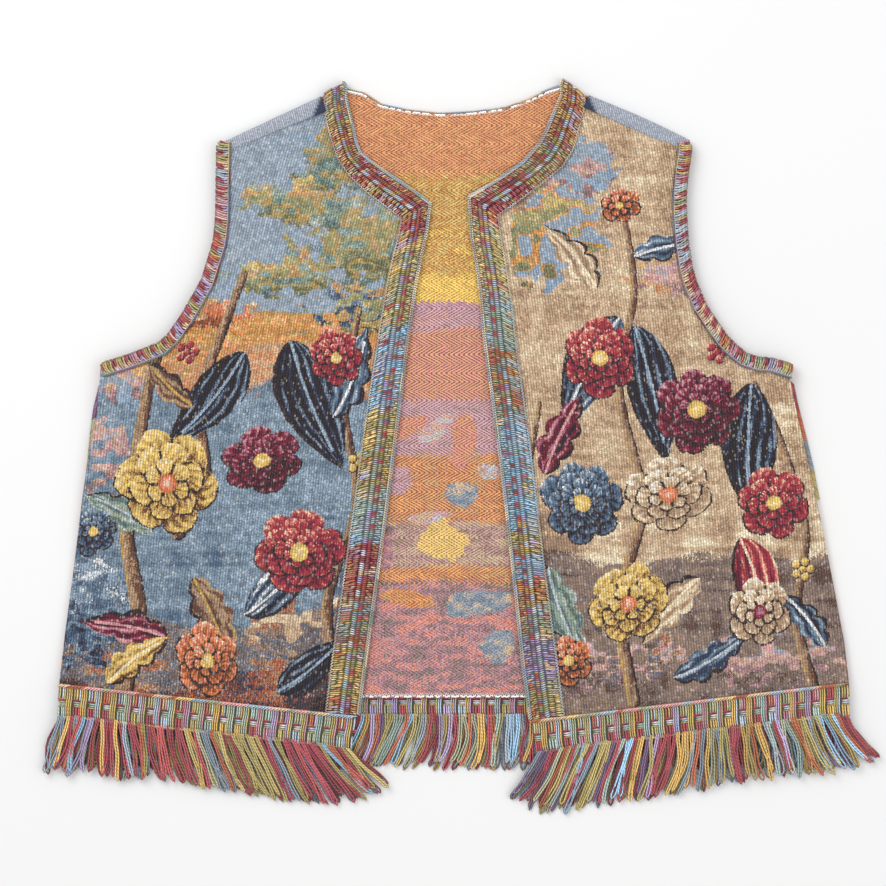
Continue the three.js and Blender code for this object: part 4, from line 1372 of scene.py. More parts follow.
@dataclass
class ClothPanel:
    """A cut panel of the tapestry, as one weave cell to each face."""

    node: str
    design: Design
    creases: tuple[Crease, ...]
    cell: float
    grain: float
    slot: str
    thick: float = 1.5 * MM
    face_up: bool = True
    bend: float = 0.0
    inside: InsideDesign = FRONT_INSIDE
    obj: bpy.types.Object | None = None

    def build(self, wardrobe: Wardrobe) -> bpy.types.Object:
        """Builds the panel on its CAD solid.

        Args:
            wardrobe: the materials.

        Returns:
            The panel.
        """
        solid = CadSolid(self.node)
        outline = solid.upper if self.face_up else solid.lower
        corners, faces, index = self._cells(outline)
        x, y = corners[:, 0], corners[:, 1]
        lift = sum(c.lift(x, y) for c in self.creases)
        lift = lift + 0.12 * MM * (cloud(x / MM, y / MM, 16, 12, 3) - 0.5)
        inward = np.linalg.norm(corners - self._nearest(outline, corners), axis=1)
        calm = np.clip(inward / (26 * MM), 0, 1)
        lift = lift * calm * calm * (3 - 2 * calm)
        if self.face_up:
            top = solid.top(corners) + lift
            low = top - self.thick
        else:
            low = solid.bottom(corners)
            top = low + self.thick + np.abs(lift)
        verts = np.vstack([np.column_stack([x, y, top]), np.column_stack([x, y, low])])
        quads, owner = closed_sheet(faces, len(corners))
        mesh = bpy.data.meshes.new(self.node + "_cloth")
        mesh.from_pydata(verts.tolist(), [], quads.tolist())
        self._paint(mesh, corners, faces, index, owner)
        above, below = (0, 1) if self.face_up else (1, 0)
        counts = [len(faces), len(faces), len(owner)]
        kinds = np.repeat(np.array([above, below, above], np.int32), counts)
        mesh.polygons.foreach_set("material_index", kinds)
        mesh.materials.append(wardrobe.face)
        mesh.materials.append(wardrobe.inside)
        mesh.polygons.foreach_set("use_smooth", np.repeat([True, True, False], counts))
        mesh.update()
        self.obj = seat(linked(self.node + "_cloth", mesh), self.slot, self.node)
        return self.obj

    def _cells(self, outline: Array) -> tuple[Array, Array, Array]:
        """Weave cells inside the outline, whose border corners are drawn out to it."""
        c, s = math.cos(math.radians(self.grain)), math.sin(math.radians(self.grain))
        x, y = outline.T
        turned = np.column_stack([x * c + y * s, y * c - x * s])
        margin = 1 + int(math.ceil(abs(self.bend) * 0.07 / self.cell))
        low = np.floor(turned.min(0) / self.cell).astype(int) - margin
        high = np.ceil(turned.max(0) / self.cell).astype(int) + margin
        gx, gy = np.meshgrid(np.arange(low[0], high[0] + 1), np.arange(low[1], high[1] + 1), indexing="ij")
        u, v = gx.ravel() * self.cell, gy.ravel() * self.cell
        points = np.column_stack([u * c - v * s, u * s + v * c])
        points[:, 0] += self.bend * np.maximum(points[:, 1], 0) ** 2
        quads = grid_cells(*gx.shape)
        quads = quads[within(outline, points[quads].mean(1))]
        used, packed = np.unique(quads, return_inverse=True)
        quads = packed.reshape(-1, 4)
        points = points[used]
        index = np.column_stack([gx.ravel()[used], gy.ravel()[used]])
        edge = np.unique(border_of(quads)[0])
        points[edge] = self._nearest(outline, points[edge])
        return points, quads, index

    @staticmethod
    def _nearest(outline: Array, points: Array) -> Array:
        """The outline's nearest place to each point."""
        best = np.full(len(points), 1e9)
        found = points.copy()
        for a, b in zip(outline, np.roll(outline, -1, axis=0)):
            way = b - a
            t = np.clip(((points - a) @ way) / (way @ way + 1e-18), 0, 1)
            place = a + t[:, None] * way
            gap = np.linalg.norm(points - place, axis=1)
            nearer = gap < best
            best[nearer] = gap[nearer]
            found[nearer] = place[nearer]
        return found

    def _paint(self, mesh: bpy.types.Mesh, corners: Array, faces: Array, index: Array, owner: Array) -> None:
        """Stores the colours of every quarter cell, the strokes' strength and the weave's coordinates."""
        cells = index[faces].min(1)
        halves = [(0, 0), (1, 0), (0, 1), (1, 1)]
        places, columns, rows = [], [], []
        for i, j in halves:
            a, b = 0.25 + 0.5 * i, 0.25 + 0.5 * j
            weights = np.array([(1 - a) * (1 - b), a * (1 - b), a * b, (1 - a) * b])
            places.append(np.einsum("fkc,k->fc", corners[faces], weights) / MM)
            columns.append(2 * cells[:, 0] + i)
            rows.append(2 * cells[:, 1] + j)
        place = np.vstack(places)
        woven = []
        for design in (self.design, self.inside):
            canvas = Canvas(place[:, 0], place[:, 1], np.concatenate(columns), np.concatenate(rows))
            design.weave(canvas)
            strength = canvas.strength.reshape(4, len(faces)).mean(0)
            woven.append((canvas.colour.reshape(4, len(faces), 3), strength))
        above, below = woven if self.face_up else woven[::-1]
        for k, name in enumerate(QUARTERS):
            colours = np.vstack([above[0][k], below[0][k], above[0][k][owner]])
            filled = np.column_stack([colours, np.ones(len(colours))])
            layer = mesh.color_attributes.new(name, "FLOAT_COLOR", "CORNER")
            layer.data.foreach_set("color", np.repeat(filled, 4, axis=0).ravel())
        floats = np.concatenate([above[1], below[1], above[1][owner]])
        mesh.attributes.new("floats", "FLOAT", "CORNER").data.foreach_set("value", np.repeat(floats, 4))
        corner = np.zeros(len(floats) * 4, np.int32)
        mesh.loops.foreach_get("vertex_index", corner)
        grid = np.vstack([index, index]).astype(float)
        mesh.uv_layers.new(name="weave").data.foreach_set("uv", grid[corner].ravel())


# ---------------------------------------------------------------- yarn work


class YarnTubes:
    """A Geometry Nodes tree that turns yarn paths into closed tubes."""

    def __init__(self) -> None:
        """Builds the tree."""
        self.tree = bpy.data.node_groups.new("yarn_tubes", "GeometryNodeTree")
        g = Graph(self.tree)
        face = self.tree.interface
        face.new_socket(name="Geometry", in_out="INPUT", socket_type="NodeSocketGeometry")
        self.sides = face.new_socket(name="Sides", in_out="INPUT", socket_type="NodeSocketInt").identifier
        uneven = face.new_socket(name="Unevenness", in_out="INPUT", socket_type="NodeSocketFloat")
        finish = face.new_socket(name="Finish", in_out="INPUT", socket_type="NodeSocketMaterial")
        self.uneven, self.finish = uneven.identifier, finish.identifier
        face.new_socket(name="Geometry", in_out="OUTPUT", socket_type="NodeSocketGeometry")
        enter, leave = g.node("NodeGroupInput"), g.node("NodeGroupOutput")
        curve = g.node("GeometryNodeMeshToCurve")
        g.feed(curve.inputs["Mesh"], enter.outputs["Geometry"])
        thick = g.node("GeometryNodeInputNamedAttribute", data_type="FLOAT")
        thick.inputs["Name"].default_value = "thick"
        chance = g.node("FunctionNodeRandomValue", data_type="FLOAT")
        g.feed(chance.inputs[2], g.minus(1.0, enter.outputs["Unevenness"]))
        g.feed(chance.inputs[3], g.plus(1.0, enter.outputs["Unevenness"]))
        chance.inputs["Seed"].default_value = 7
        radius = g.times(thick.outputs[0], chance.outputs[1])
        sized = g.node("GeometryNodeSetCurveRadius")
        g.feed(sized.inputs["Curve"], curve.outputs[0])
        g.feed(sized.inputs["Radius"], radius)
        run = g.node("GeometryNodeSplineParameter")
        marked = self._store(g, sized.outputs[0], "along", run.outputs["Length"])
        ring = g.node("GeometryNodeCurvePrimitiveCircle")
        g.feed(ring.inputs["Resolution"], enter.outputs["Sides"])
        ring.inputs["Radius"].default_value = 1.0
        place = g.node("ShaderNodeSeparateXYZ")
        g.feed(place.inputs[0], g.node("GeometryNodeInputPosition").outputs[0])
        profile = self._store(g, ring.outputs[0], "cosine", place.outputs[0])
        profile = self._store(g, profile, "sine", place.outputs[1])
        tube = g.node("GeometryNodeCurveToMesh")
        g.feed(tube.inputs["Curve"], marked)
        g.feed(tube.inputs["Profile Curve"], profile)
        tube.inputs["Fill Caps"].default_value = True
        if "Scale" in tube.inputs:
            radii = g.node("GeometryNodeInputRadius")
            g.feed(tube.inputs["Scale"], radii.outputs[0])
        smooth = g.node("GeometryNodeSetShadeSmooth")
        g.feed(smooth.inputs["Geometry"], tube.outputs[0])
        real = g.node("GeometryNodeRealizeInstances")
        g.feed(real.inputs[0], smooth.outputs[0])
        dressed = g.node("GeometryNodeSetMaterial")
        g.feed(dressed.inputs["Geometry"], real.outputs[0])
        g.feed(dressed.inputs["Material"], enter.outputs["Finish"])
        g.feed(leave.inputs["Geometry"], dressed.outputs[0])

    @staticmethod
    def _store(g: Graph, geometry: object, name: str, value: object) -> bpy.types.NodeSocket:
        """Keeps a value on the points under a name."""
        made = g.node("GeometryNodeStoreNamedAttribute", data_type="FLOAT", domain="POINT")
        g.feed(made.inputs["Geometry"], geometry)
        made.inputs["Name"].default_value = name
        g.feed(made.inputs["Value"], value)
        return made.outputs[0]


@dataclass
class YarnWork:
    """Yarn paths of one trimming, gathered and then made into a single mesh."""

    name: str
    sides: int = 5
    uneven: float = 0.08
    points: list[Array] = field(default_factory=list)
    thick: list[Array] = field(default_factory=list)
    dye: list[Array] = field(default_factory=list)

    def lay(self, path: Array, radius: float, colour: Sequence[float], taper: float = 1.0) -> None:
        """Adds a yarn.

        Args:
            path: its middle line, one x, y, z row a point.
            radius: half its thickness, in metres.
            colour: its linear colour, or one a point.
            taper: thickness at both ends as a share of the rest.
        """
        size = np.full(len(path), radius)
        size[[0, -1]] *= taper
        path = np.array(path, float)
        path[:, 2] = np.maximum(path[:, 2], radius * (1.02 + self.uneven))
        self.points.append(path)
        self.thick.append(size)
        self.dye.append(np.column_stack([np.broadcast_to(colour, (len(path), 3)), np.ones(len(path))]))

    def make(self, tubes: YarnTubes, material: bpy.types.Material) -> bpy.types.Object:
        """Turns the paths into one plain mesh object at the origin.

        Args:
            tubes: the tube tree.
            material: the yarn's finish.

        Returns:
            The object.
        """
        starts = np.cumsum([0] + [len(p) for p in self.points])
        spans = zip(starts[:-1], starts[1:])
        edges = np.vstack([np.column_stack([np.arange(a, b - 1), np.arange(a + 1, b)]) for a, b in spans])
        guide = bpy.data.meshes.new(self.name + "_paths")
        guide.from_pydata(np.vstack(self.points).tolist(), edges.tolist(), [])
        guide.attributes.new("thick", "FLOAT", "POINT").data.foreach_set("value", np.concatenate(self.thick))
        dye = guide.attributes.new("dye", "FLOAT_COLOR", "POINT")
        dye.data.foreach_set("color", np.vstack(self.dye).ravel())
        holder = linked(self.name + "_paths", guide)
        step = holder.modifiers.new("tubes", "NODES")
        step.node_group = tubes.tree
        step[tubes.sides] = self.sides
        step[tubes.uneven] = self.uneven
        step[tubes.finish] = material
        bpy.context.view_layer.update()
        ready = holder.evaluated_get(bpy.context.evaluated_depsgraph_get())
        mesh = bpy.data.meshes.new_from_object(ready)
        holder.modifiers.remove(step)
        bpy.data.objects.remove(holder)
        bpy.data.meshes.remove(guide)
        mesh.name = self.name
        return linked(self.name, mesh)


def pick(chance: np.random.Generator, options: Sequence) -> object:
    """One of some options."""
    return options[int(chance.integers(len(options)))]


def varied(chance: np.random.Generator, yarn: Yarn, amount: float = 0.12) -> Array:
    """A yarn's colour, a little lighter or darker."""
    plain = 0.97 * np.array(yarn.light) + 0.1 * np.array(Yarn.TAN.light) + 0.02
    return plain * (1 + chance.uniform(-amount, amount))


@dataclass(frozen=True)
class Shade:
    """A stretch of a trimming up to a run in millimetres, with the yarns that show in it."""

    until: float
    yarns: tuple[Yarn, ...]


def shade_at(shades: Sequence[Shade], run: float) -> tuple[Yarn, ...]:
    """The yarns at a run in metres."""
    return next((s.yarns for s in shades if run < s.until * MM), shades[-1].yarns)


def slab(name: str, upper: Array, lower: Array, rows: int, dye: Array,
         material: bpy.types.Material) -> bpy.types.Object:
    """A closed sheet between two grids of points.

    Args:
        name: the object's name.
        upper: points of the upper side, row by row.
        lower: points of the lower side.
        rows: how many rows there are.
        dye: linear colour of each point.
        material: its finish.

    Returns:
        The object.
    """
    n = len(upper)
    quads = grid_cells(rows, n // rows)
    a, b, c = upper[quads[0][0]], upper[quads[0][1]], upper[quads[0][2]]
    if np.cross(b - a, c - b)[2] < 0:
        quads = quads[:, ::-1]
    mesh = bpy.data.meshes.new(name)
    mesh.from_pydata(np.vstack([upper, lower]).tolist(), [], closed_sheet(quads, n)[0].tolist())
    filled = np.tile(np.column_stack([dye, np.ones(n)]), (2, 1))
    mesh.color_attributes.new("dye", "FLOAT_COLOR", "POINT").data.foreach_set("color", filled.ravel())
    mesh.materials.append(material)
    mesh.update()
    return linked(name, mesh)


def joined(parts: Sequence[bpy.types.Object], name: str) -> bpy.types.Object:
    """Joins the parts of one piece into the first."""
    with bpy.context.temp_override(active_object=parts[0], selected_editable_objects=list(parts)):
        bpy.ops.object.join()
    parts[0].name = name
    return parts[0]


@dataclass
class Trimming:
    """A strip of yarn work on a CAD solid; its pairs are corners that lie across from each other."""

    node: str
    pairs: tuple[Pair, ...]
    seed: int
    chance: np.random.Generator = field(init=False)
    ribbon: Ribbon = field(init=False)
    work: YarnWork = field(init=False)

    SLOT = "braid"
    KIND = "yarns"
    SIDES = 5
    UNEVEN = 0.08

    def build(self, wardrobe: Wardrobe, tubes: YarnTubes) -> bpy.types.Object:
        """Builds the strip.

        Args:
            wardrobe: the materials.
            tubes: the tube tree.

        Returns:
            The strip.
        """
        self.chance = np.random.default_rng(self.seed)
        self.ribbon = Ribbon(self._solid(), self.pairs)
        self.work = YarnWork(f"{self.node}_{self.KIND}", self.SIDES, self.UNEVEN)
        self._lay_yarns()
        made = self.work.make(tubes, wardrobe.yarn)
        core = self._core(wardrobe.yarn)
        if core:
            made = joined([made, core], self.work.name)
        size = self.ribbon.length / MM, self.ribbon.width / MM, len(self.work.points)
        LOG.info("%s: %.0f mm long, %.1f mm wide, %d yarns", self.node, *size)
        return seat(made, self.SLOT, self.node)

    def _solid(self) -> CadSolid:
        """The solid that the strip follows."""
        return CadSolid(self.node)

    def _lay_yarns(self) -> None:
        """Lays every yarn of the strip."""
        raise NotImplementedError

    def _core(self, material: bpy.types.Material) -> bpy.types.Object | None:
        """The closed core under the yarns, where the strip has one."""
        return None

    def _dyed(self, yarns: Sequence[Yarn]) -> Array:
        """The colour of one of some yarns."""
        return varied(self.chance, pick(self.chance, yarns))

    def _runs(self, pitch: float, low: int, high: int) -> Iterable[tuple[float, bool]]:
        """Places along the strip that say where a new block of colour starts.

        Args:
            pitch: distance between places, in millimetres.
            low: fewest places in a block.
            high: most places in a block.

        Yields:
            Run in metres, and whether a block starts there.
        """
        left = 0
        for k in range(int(self.ribbon.length / (pitch * MM))):
            starts = left <= 0
            if starts:
                left = int(self.chance.integers(low, high + 1))
            left -= 1
            yield (k + 0.5) * pitch * MM, starts

    def _stitch(self, at: Array, share: Sequence[float] | float, dip: Sequence[float], radius: float,
                colour: Array, taper: float = 1.0) -> None:
        """Lays one yarn.

        Args:
            at: run of its points, in metres.
            share: their places across the strip.
            dip: their depths below the solid's surface, in millimetres.
            radius: half the yarn's thickness, in millimetres.
            colour: its linear colour.
            taper: thickness of its ends as a share of the rest.
        """
        run = np.clip(at, 0, self.ribbon.length)
        self.work.lay(self.ribbon.place(run, share, np.array(dip) * MM), radius * MM, colour, taper)

    def _strip_core(self, shades: Sequence[Shade], material: bpy.types.Material, sunk: float,
                    painted_shade: float) -> bpy.types.Object:
        """A closed core that fills the solid up to a little below its surface, darkened as painted shade
        between the yarns.

        Args:
            shades: the strip's yarns along the run.
            material: its finish.
            sunk: how far its top lies below the CAD surface.
            painted_shade: how dark it is beside its yarns.

        Returns:
            The core.
        """
        ribbon, columns = self.ribbon, 6
        rows = max(3, int(ribbon.length / (4 * MM)))
        run = np.repeat(np.linspace(1.4 * MM, ribbon.length - 1.4 * MM, rows), columns)
        share = np.tile(np.linspace(0.04, 0.96, columns), rows)
        upper = ribbon.place(run, share, sunk)
        lower = upper.copy()
        floor = ribbon.solid.bottom(ribbon.flat(run, np.clip(share, 0.06, 0.94))) + 0.05 * MM
        lower[:, 2] = np.minimum(floor, upper[:, 2] - 0.1 * MM)
        dye = np.array([np.array(shade_at(shades, s)[0].light) * painted_shade for s in run])
        return slab(self.node + "_core", upper, lower, rows, dye, material)


@dataclass(frozen=True)
class Lane:
    """A row of short floats along a braid: its sides as shares of the width, its yarn in millimetres."""

    first: float
    last: float
    pitch: float
    radius: float
    lean: float
    sunk: float = 0.15

    def float_path(self, ribbon: Ribbon, s: float) -> Array:
        """The middle line of the float at a run in metres."""
        share = self.first + (self.last - self.first) * np.array([0.0, 0.24, 0.5, 0.76, 1.0])
        run = s + self.lean * MM * np.array([-0.5, -0.25, 0, 0.25, 0.5])
        dip = np.array([1.15, 0.3, 0.0, 0.3, 1.15]) + self.radius + self.sunk
        return ribbon.place(np.clip(run, 0.1 * MM, ribbon.length - 0.1 * MM), share, dip * MM)


@dataclass
class NeckBraid(Trimming):
    """The broad braid round a front's free edge and half the neck, or across the back of the neck."""

    shades: tuple[Shade, ...]
    ladder: float = 9.2

    SIDES = 4
    INNER = Lane(0.105, 0.315, 1.5, 0.66, 0.8)
    RUNG = Lane(0.315, 0.45, 1.5, 0.76, -0.3, 0.0)
    PALE = Lane(0.45, 0.605, 1.55, 0.7, 1.1)
    OUTER = Lane(0.605, 0.955, 1.5, 0.7, -1.1)

    def _lay_yarns(self) -> None:
        """Lays both fields, the ladder between them and the edges; the pairs start at the free edge."""
        self._field(self.INNER, (1, 3), 0.6)
        self._field(self.OUTER, (1, 5), 0.45)
        self._ladder()
        self._edge_chain()
        self._outer_loops()

    def _core(self, material: bpy.types.Material) -> bpy.types.Object:
        """The core under the yarns, darkened as painted shade."""
        return self._strip_core(self.shades, material, 1.15 * MM, 0.34)

    def _stretch_yarn(self, s: float, stray: float = 0.27) -> Array:
        """A yarn of the stretch, or now and then any other."""
        return self._dyed(STRAYS if self.chance.random() < stray else shade_at(self.shades, s))

    def _field(self, lane: Lane, block: tuple[int, int], whole: float) -> None:
        """Floats side by side in short blocks of one colour, some of them whole and some in two halves."""
        chance, odd = self.chance, False
        colour, other = self._stretch_yarn(0.0), self._stretch_yarn(0.0)
        sides = (lane.first, lane.last, 0.5 * (lane.first + lane.last))
        for s, starts in self._runs(lane.pitch, *block):
            if starts:
                colour, other = self._stretch_yarn(s), self._stretch_yarn(s)
            odd = not odd
            level = chance.uniform(1.05, 1.45) if odd else chance.uniform(0.6, 1.0)
            tint = (colour if odd else 0.65 * colour + 0.35 * other) * level
            low, high, middle = (share + chance.normal(0.0, 0.012) for share in sides)
            halves = [(low, high)] if chance.random() < whole else [(low, middle), (middle, high)]
            for k, (first, last) in enumerate(halves):
                part = replace(lane, first=first, last=last, lean=lane.lean / len(halves))
                path = part.float_path(self.ribbon, s + chance.uniform(-0.25, 0.25) * MM)
                path[:, 2] += chance.normal(0.0, 0.16) * MM
                if k:
                    tint = self._stretch_yarn(s) * chance.uniform(0.75, 1.4)
                mixed = np.linspace(tint, 0.6 * tint + 0.4 * other, len(path))
                self.work.lay(path, lane.radius * MM * chance.uniform(0.88, 1.12), mixed, 0.75)

    def _ladder(self) -> None:
        """Crimson blocks a third of the way across, each with a pale block beside it."""
        chance, rung, pale, between = self.chance, Yarn.CRIMSON, Yarn.MIST, self._stretch_yarn(0.0)
        for s, starts in self._runs(self.RUNG.pitch, 2, 3):
            phase = (s / MM) % self.ladder
            if phase < self.RUNG.pitch:
                rung = pick(chance, (Yarn.CRIMSON, Yarn.CRIMSON, Yarn.BURGUNDY, Yarn.VIOLET))
                pale = pick(chance, (Yarn.MIST, Yarn.LILAC, Yarn.SKY, Yarn.SEA))
            if starts:
                between = self._stretch_yarn(s, 0.1)
            path = self.RUNG.float_path(self.ribbon, s)
            if phase < 4.1 and chance.random() < 0.93:
                first = varied(chance, Yarn.SCARLET if phase < 1.3 else rung)
            else:
                # Outside the crimson block the yarn sinks lower and is darkened, as painted shade.
                first = between * chance.uniform(0.6, 0.9)
                path[:, 2] -= 0.35 * MM
            second = varied(chance, pale) if phase < 4.9 else between * chance.uniform(0.8, 1.1)
            self.work.lay(path, self.RUNG.radius * MM, first, 0.85)
            self.work.lay(self.PALE.float_path(self.ribbon, s), self.PALE.radius * MM, second, 0.8)

    def _edge_chain(self) -> None:
        """Two rows of small slanting pale stitches along the free edge."""
        for share, width, shift, lift in ((0.03, 0.06, 0.0, 0.75), (0.085, 0.045, 0.7, 0.6)):
            colour = varied(self.chance, Yarn.CREAM)
            for s, starts in self._runs(1.6, 5, 12):
                if starts:
                    colour = self._dyed((Yarn.MIST, Yarn.CREAM, Yarn.SKY, Yarn.SAND, Yarn.SEA))
                at = s + (np.array([-0.8, 0, 0.8]) + shift) * MM
                shares = share + width * np.array([-0.35, 0.1, 0.5])
                self._stitch(at, shares, (lift + 0.5, lift, lift + 0.6), 0.5, colour, 0.75)

    def _outer_loops(self) -> None:
        """The small loops in which the yarns turn back at the outer edge."""
        colour = varied(self.chance, Yarn.SAGE)
        for s, starts in self._runs(2.2, 2, 5):
            if starts:
                colour = 0.6 * self._stretch_yarn(s) + 0.4 * np.array(Yarn.MIST.light)
            at = s + np.array([-0.9, -0.5, 0.0, 0.5, 0.9]) * MM
            self._stitch(at, (0.94, 0.975, 0.99, 0.975, 0.94), (1.3, 1.0, 1.0, 1.0, 1.3), 0.46, colour)


@dataclass
class HemBand(Trimming):
    """The woven heading that carries the fringe: upright yarns, bound by blocks of cross yarn."""

    period: float = 10.3 * MM

    SIDES = 4
    DEEP = (Yarn.RUST, Yarn.CRIMSON, Yarn.OLIVE, Yarn.OLIVE, Yarn.SEA, Yarn.RUST, Yarn.SAGE, Yarn.SAGE)
    LIGHT = (Yarn.MUSTARD, Yarn.OLIVE, Yarn.OLIVE, Yarn.LILAC, Yarn.SAGE, Yarn.SKY, Yarn.SEA, Yarn.MAUVE)

    def _lay_yarns(self) -> None:
        """Lays the blocks and the yarns about them; the first edge of the pairs is the upper one."""
        for k in range(int(self.ribbon.length / self.period) + 1):
            self._block(k * self.period + 0.3 * MM)
            self._posts(k * self.period + 6.2 * MM)
        self._cord()
        self._stitches()

    def _core(self, material: bpy.types.Material) -> bpy.types.Object:
        """The green core under the yarns, darkened as painted shade."""
        return self._strip_core((Shade(9999, (Yarn.MOSS,)),), material, 1.3 * MM, 0.62)

    def _upright(self, s: float, shares: Sequence[float], dip: Sequence[float], radius: float, colour: Array,
                 sway: float) -> None:
        """A yarn that runs down the band; its dip and radius are in millimetres."""
        if 0.4 * MM < s < self.ribbon.length - 0.4 * MM:
            share = np.array(shares)
            # Painted highlight and shade: each upright is lighter in its middle and darker towards its ends,
            # where it dips.
            painted_highlight = 0.78 + 0.42 * np.sin(np.linspace(0.15, 2.9, len(share)))[:, None]
            self._stitch(s + sway * np.sin(share * 7), share, dip, radius, colour * painted_highlight, 0.85)

    def _block(self, start: float) -> None:
        """Three upright yarns, tied down in the middle by pale cross yarns."""
        chance = self.chance
        upper = pick(chance, self.DEEP)
        lower = Yarn.CRIMSON if chance.random() < 0.28 else pick(chance, self.LIGHT)
        pale = pick(chance, (Yarn.MIST, Yarn.SEA, Yarn.SKY, Yarn.MIST))
        for k in range(3):
            s = start + (0.95 + 1.75 * k) * MM
            dye = upper if chance.random() < 0.6 else pick(chance, self.LIGHT)
            tints = np.array([varied(chance, dye), varied(chance, lower)]) * chance.uniform(0.8, 1.2)
            s += chance.uniform(-0.25, 0.25) * MM
            self._upright(s, (0.07, 0.14, 0.26, 0.38, 0.44), (1.6, 0.95, 0.85, 1.0, 1.8), 0.78, tints[0],
                          0.3 * MM)
            self._upright(s, (0.60, 0.66, 0.78, 0.9, 0.98), (1.8, 1.0, 0.85, 0.95, 1.3), 0.78, tints[1],
                          0.2 * MM)
        bar = Yarn.CRIMSON if chance.random() < 0.8 else Yarn.RUST
        ties = ((0.42, bar, 0.7, -0.9), (0.475, bar, 0.5, -0.7), (0.5, pale, 0.72, 0.5),
                (0.56, pale, 0.72, 0.7), (0.615, Yarn.OLIVE, 0.6, 0.4))
        for share, dye, radius, shift in ties:
            at = start + (np.array([0.3, 1.3, 2.7, 4.1, 5.1]) + shift + chance.uniform(-0.3, 0.3)) * MM
            at = np.clip(at, 0, self.ribbon.length)
            if at[-1] - at[0] > 2 * MM:
                self._stitch(at, share, (1.6, 0.9, 0.75, 0.9, 1.6), radius, varied(chance, dye), 0.8)

    def _posts(self, start: float) -> None:
        """Lighter yarns that cross the whole band between two blocks."""
        shares = (0.05, 0.16, 0.3, 0.42, 0.54, 0.66, 0.8, 0.98)
        dip = (1.3, 1.05, 0.95, 1.1, 0.95, 1.1, 0.95, 1.2)
        dye = pick(self.chance, self.LIGHT)
        for k in range(3):
            if k == 2 or self.chance.random() < 0.3:
                dye = pick(self.chance, self.LIGHT)
            self._upright(start + 1.5 * k * MM, shares, dip, 0.68, varied(self.chance, dye), 0.35 * MM)

    def _cord(self) -> None:
        """The twisted cord along the upper edge, as long slanting turns."""
        colour = varied(self.chance, Yarn.SAND)
        for s, starts in self._runs(2.3, 2, 5):
            if starts:
                colour = self._dyed((Yarn.STRAW, Yarn.PINK, Yarn.SAGE, Yarn.SKY, Yarn.SAND, Yarn.RUST))
            at = s + np.array([-2.6, -1.2, 0.9, 2.6]) * MM
            tint = colour * self.chance.uniform(0.85, 1.15)
            self._stitch(at, (0.1, 0.055, 0.012, 0.02), (1.2, 0.5, 0.6, 1.2), 0.7, tint, 0.75)

    def _stitches(self) -> None:
        """The row of small stitches that holds the yarns at the lower edge."""
        colour = varied(self.chance, Yarn.OLIVE)
        for s, starts in self._runs(2.0, 2, 6):
            if starts:
                colour = self._dyed((Yarn.OLIVE, Yarn.SAGE, Yarn.SLATE, Yarn.STRAW))
            at = s + np.array([-0.9, 0, 0.9]) * MM
            self._stitch(at, (0.945, 0.93, 0.955), (1.0, 0.35, 1.0), 0.42, colour, 0.8)


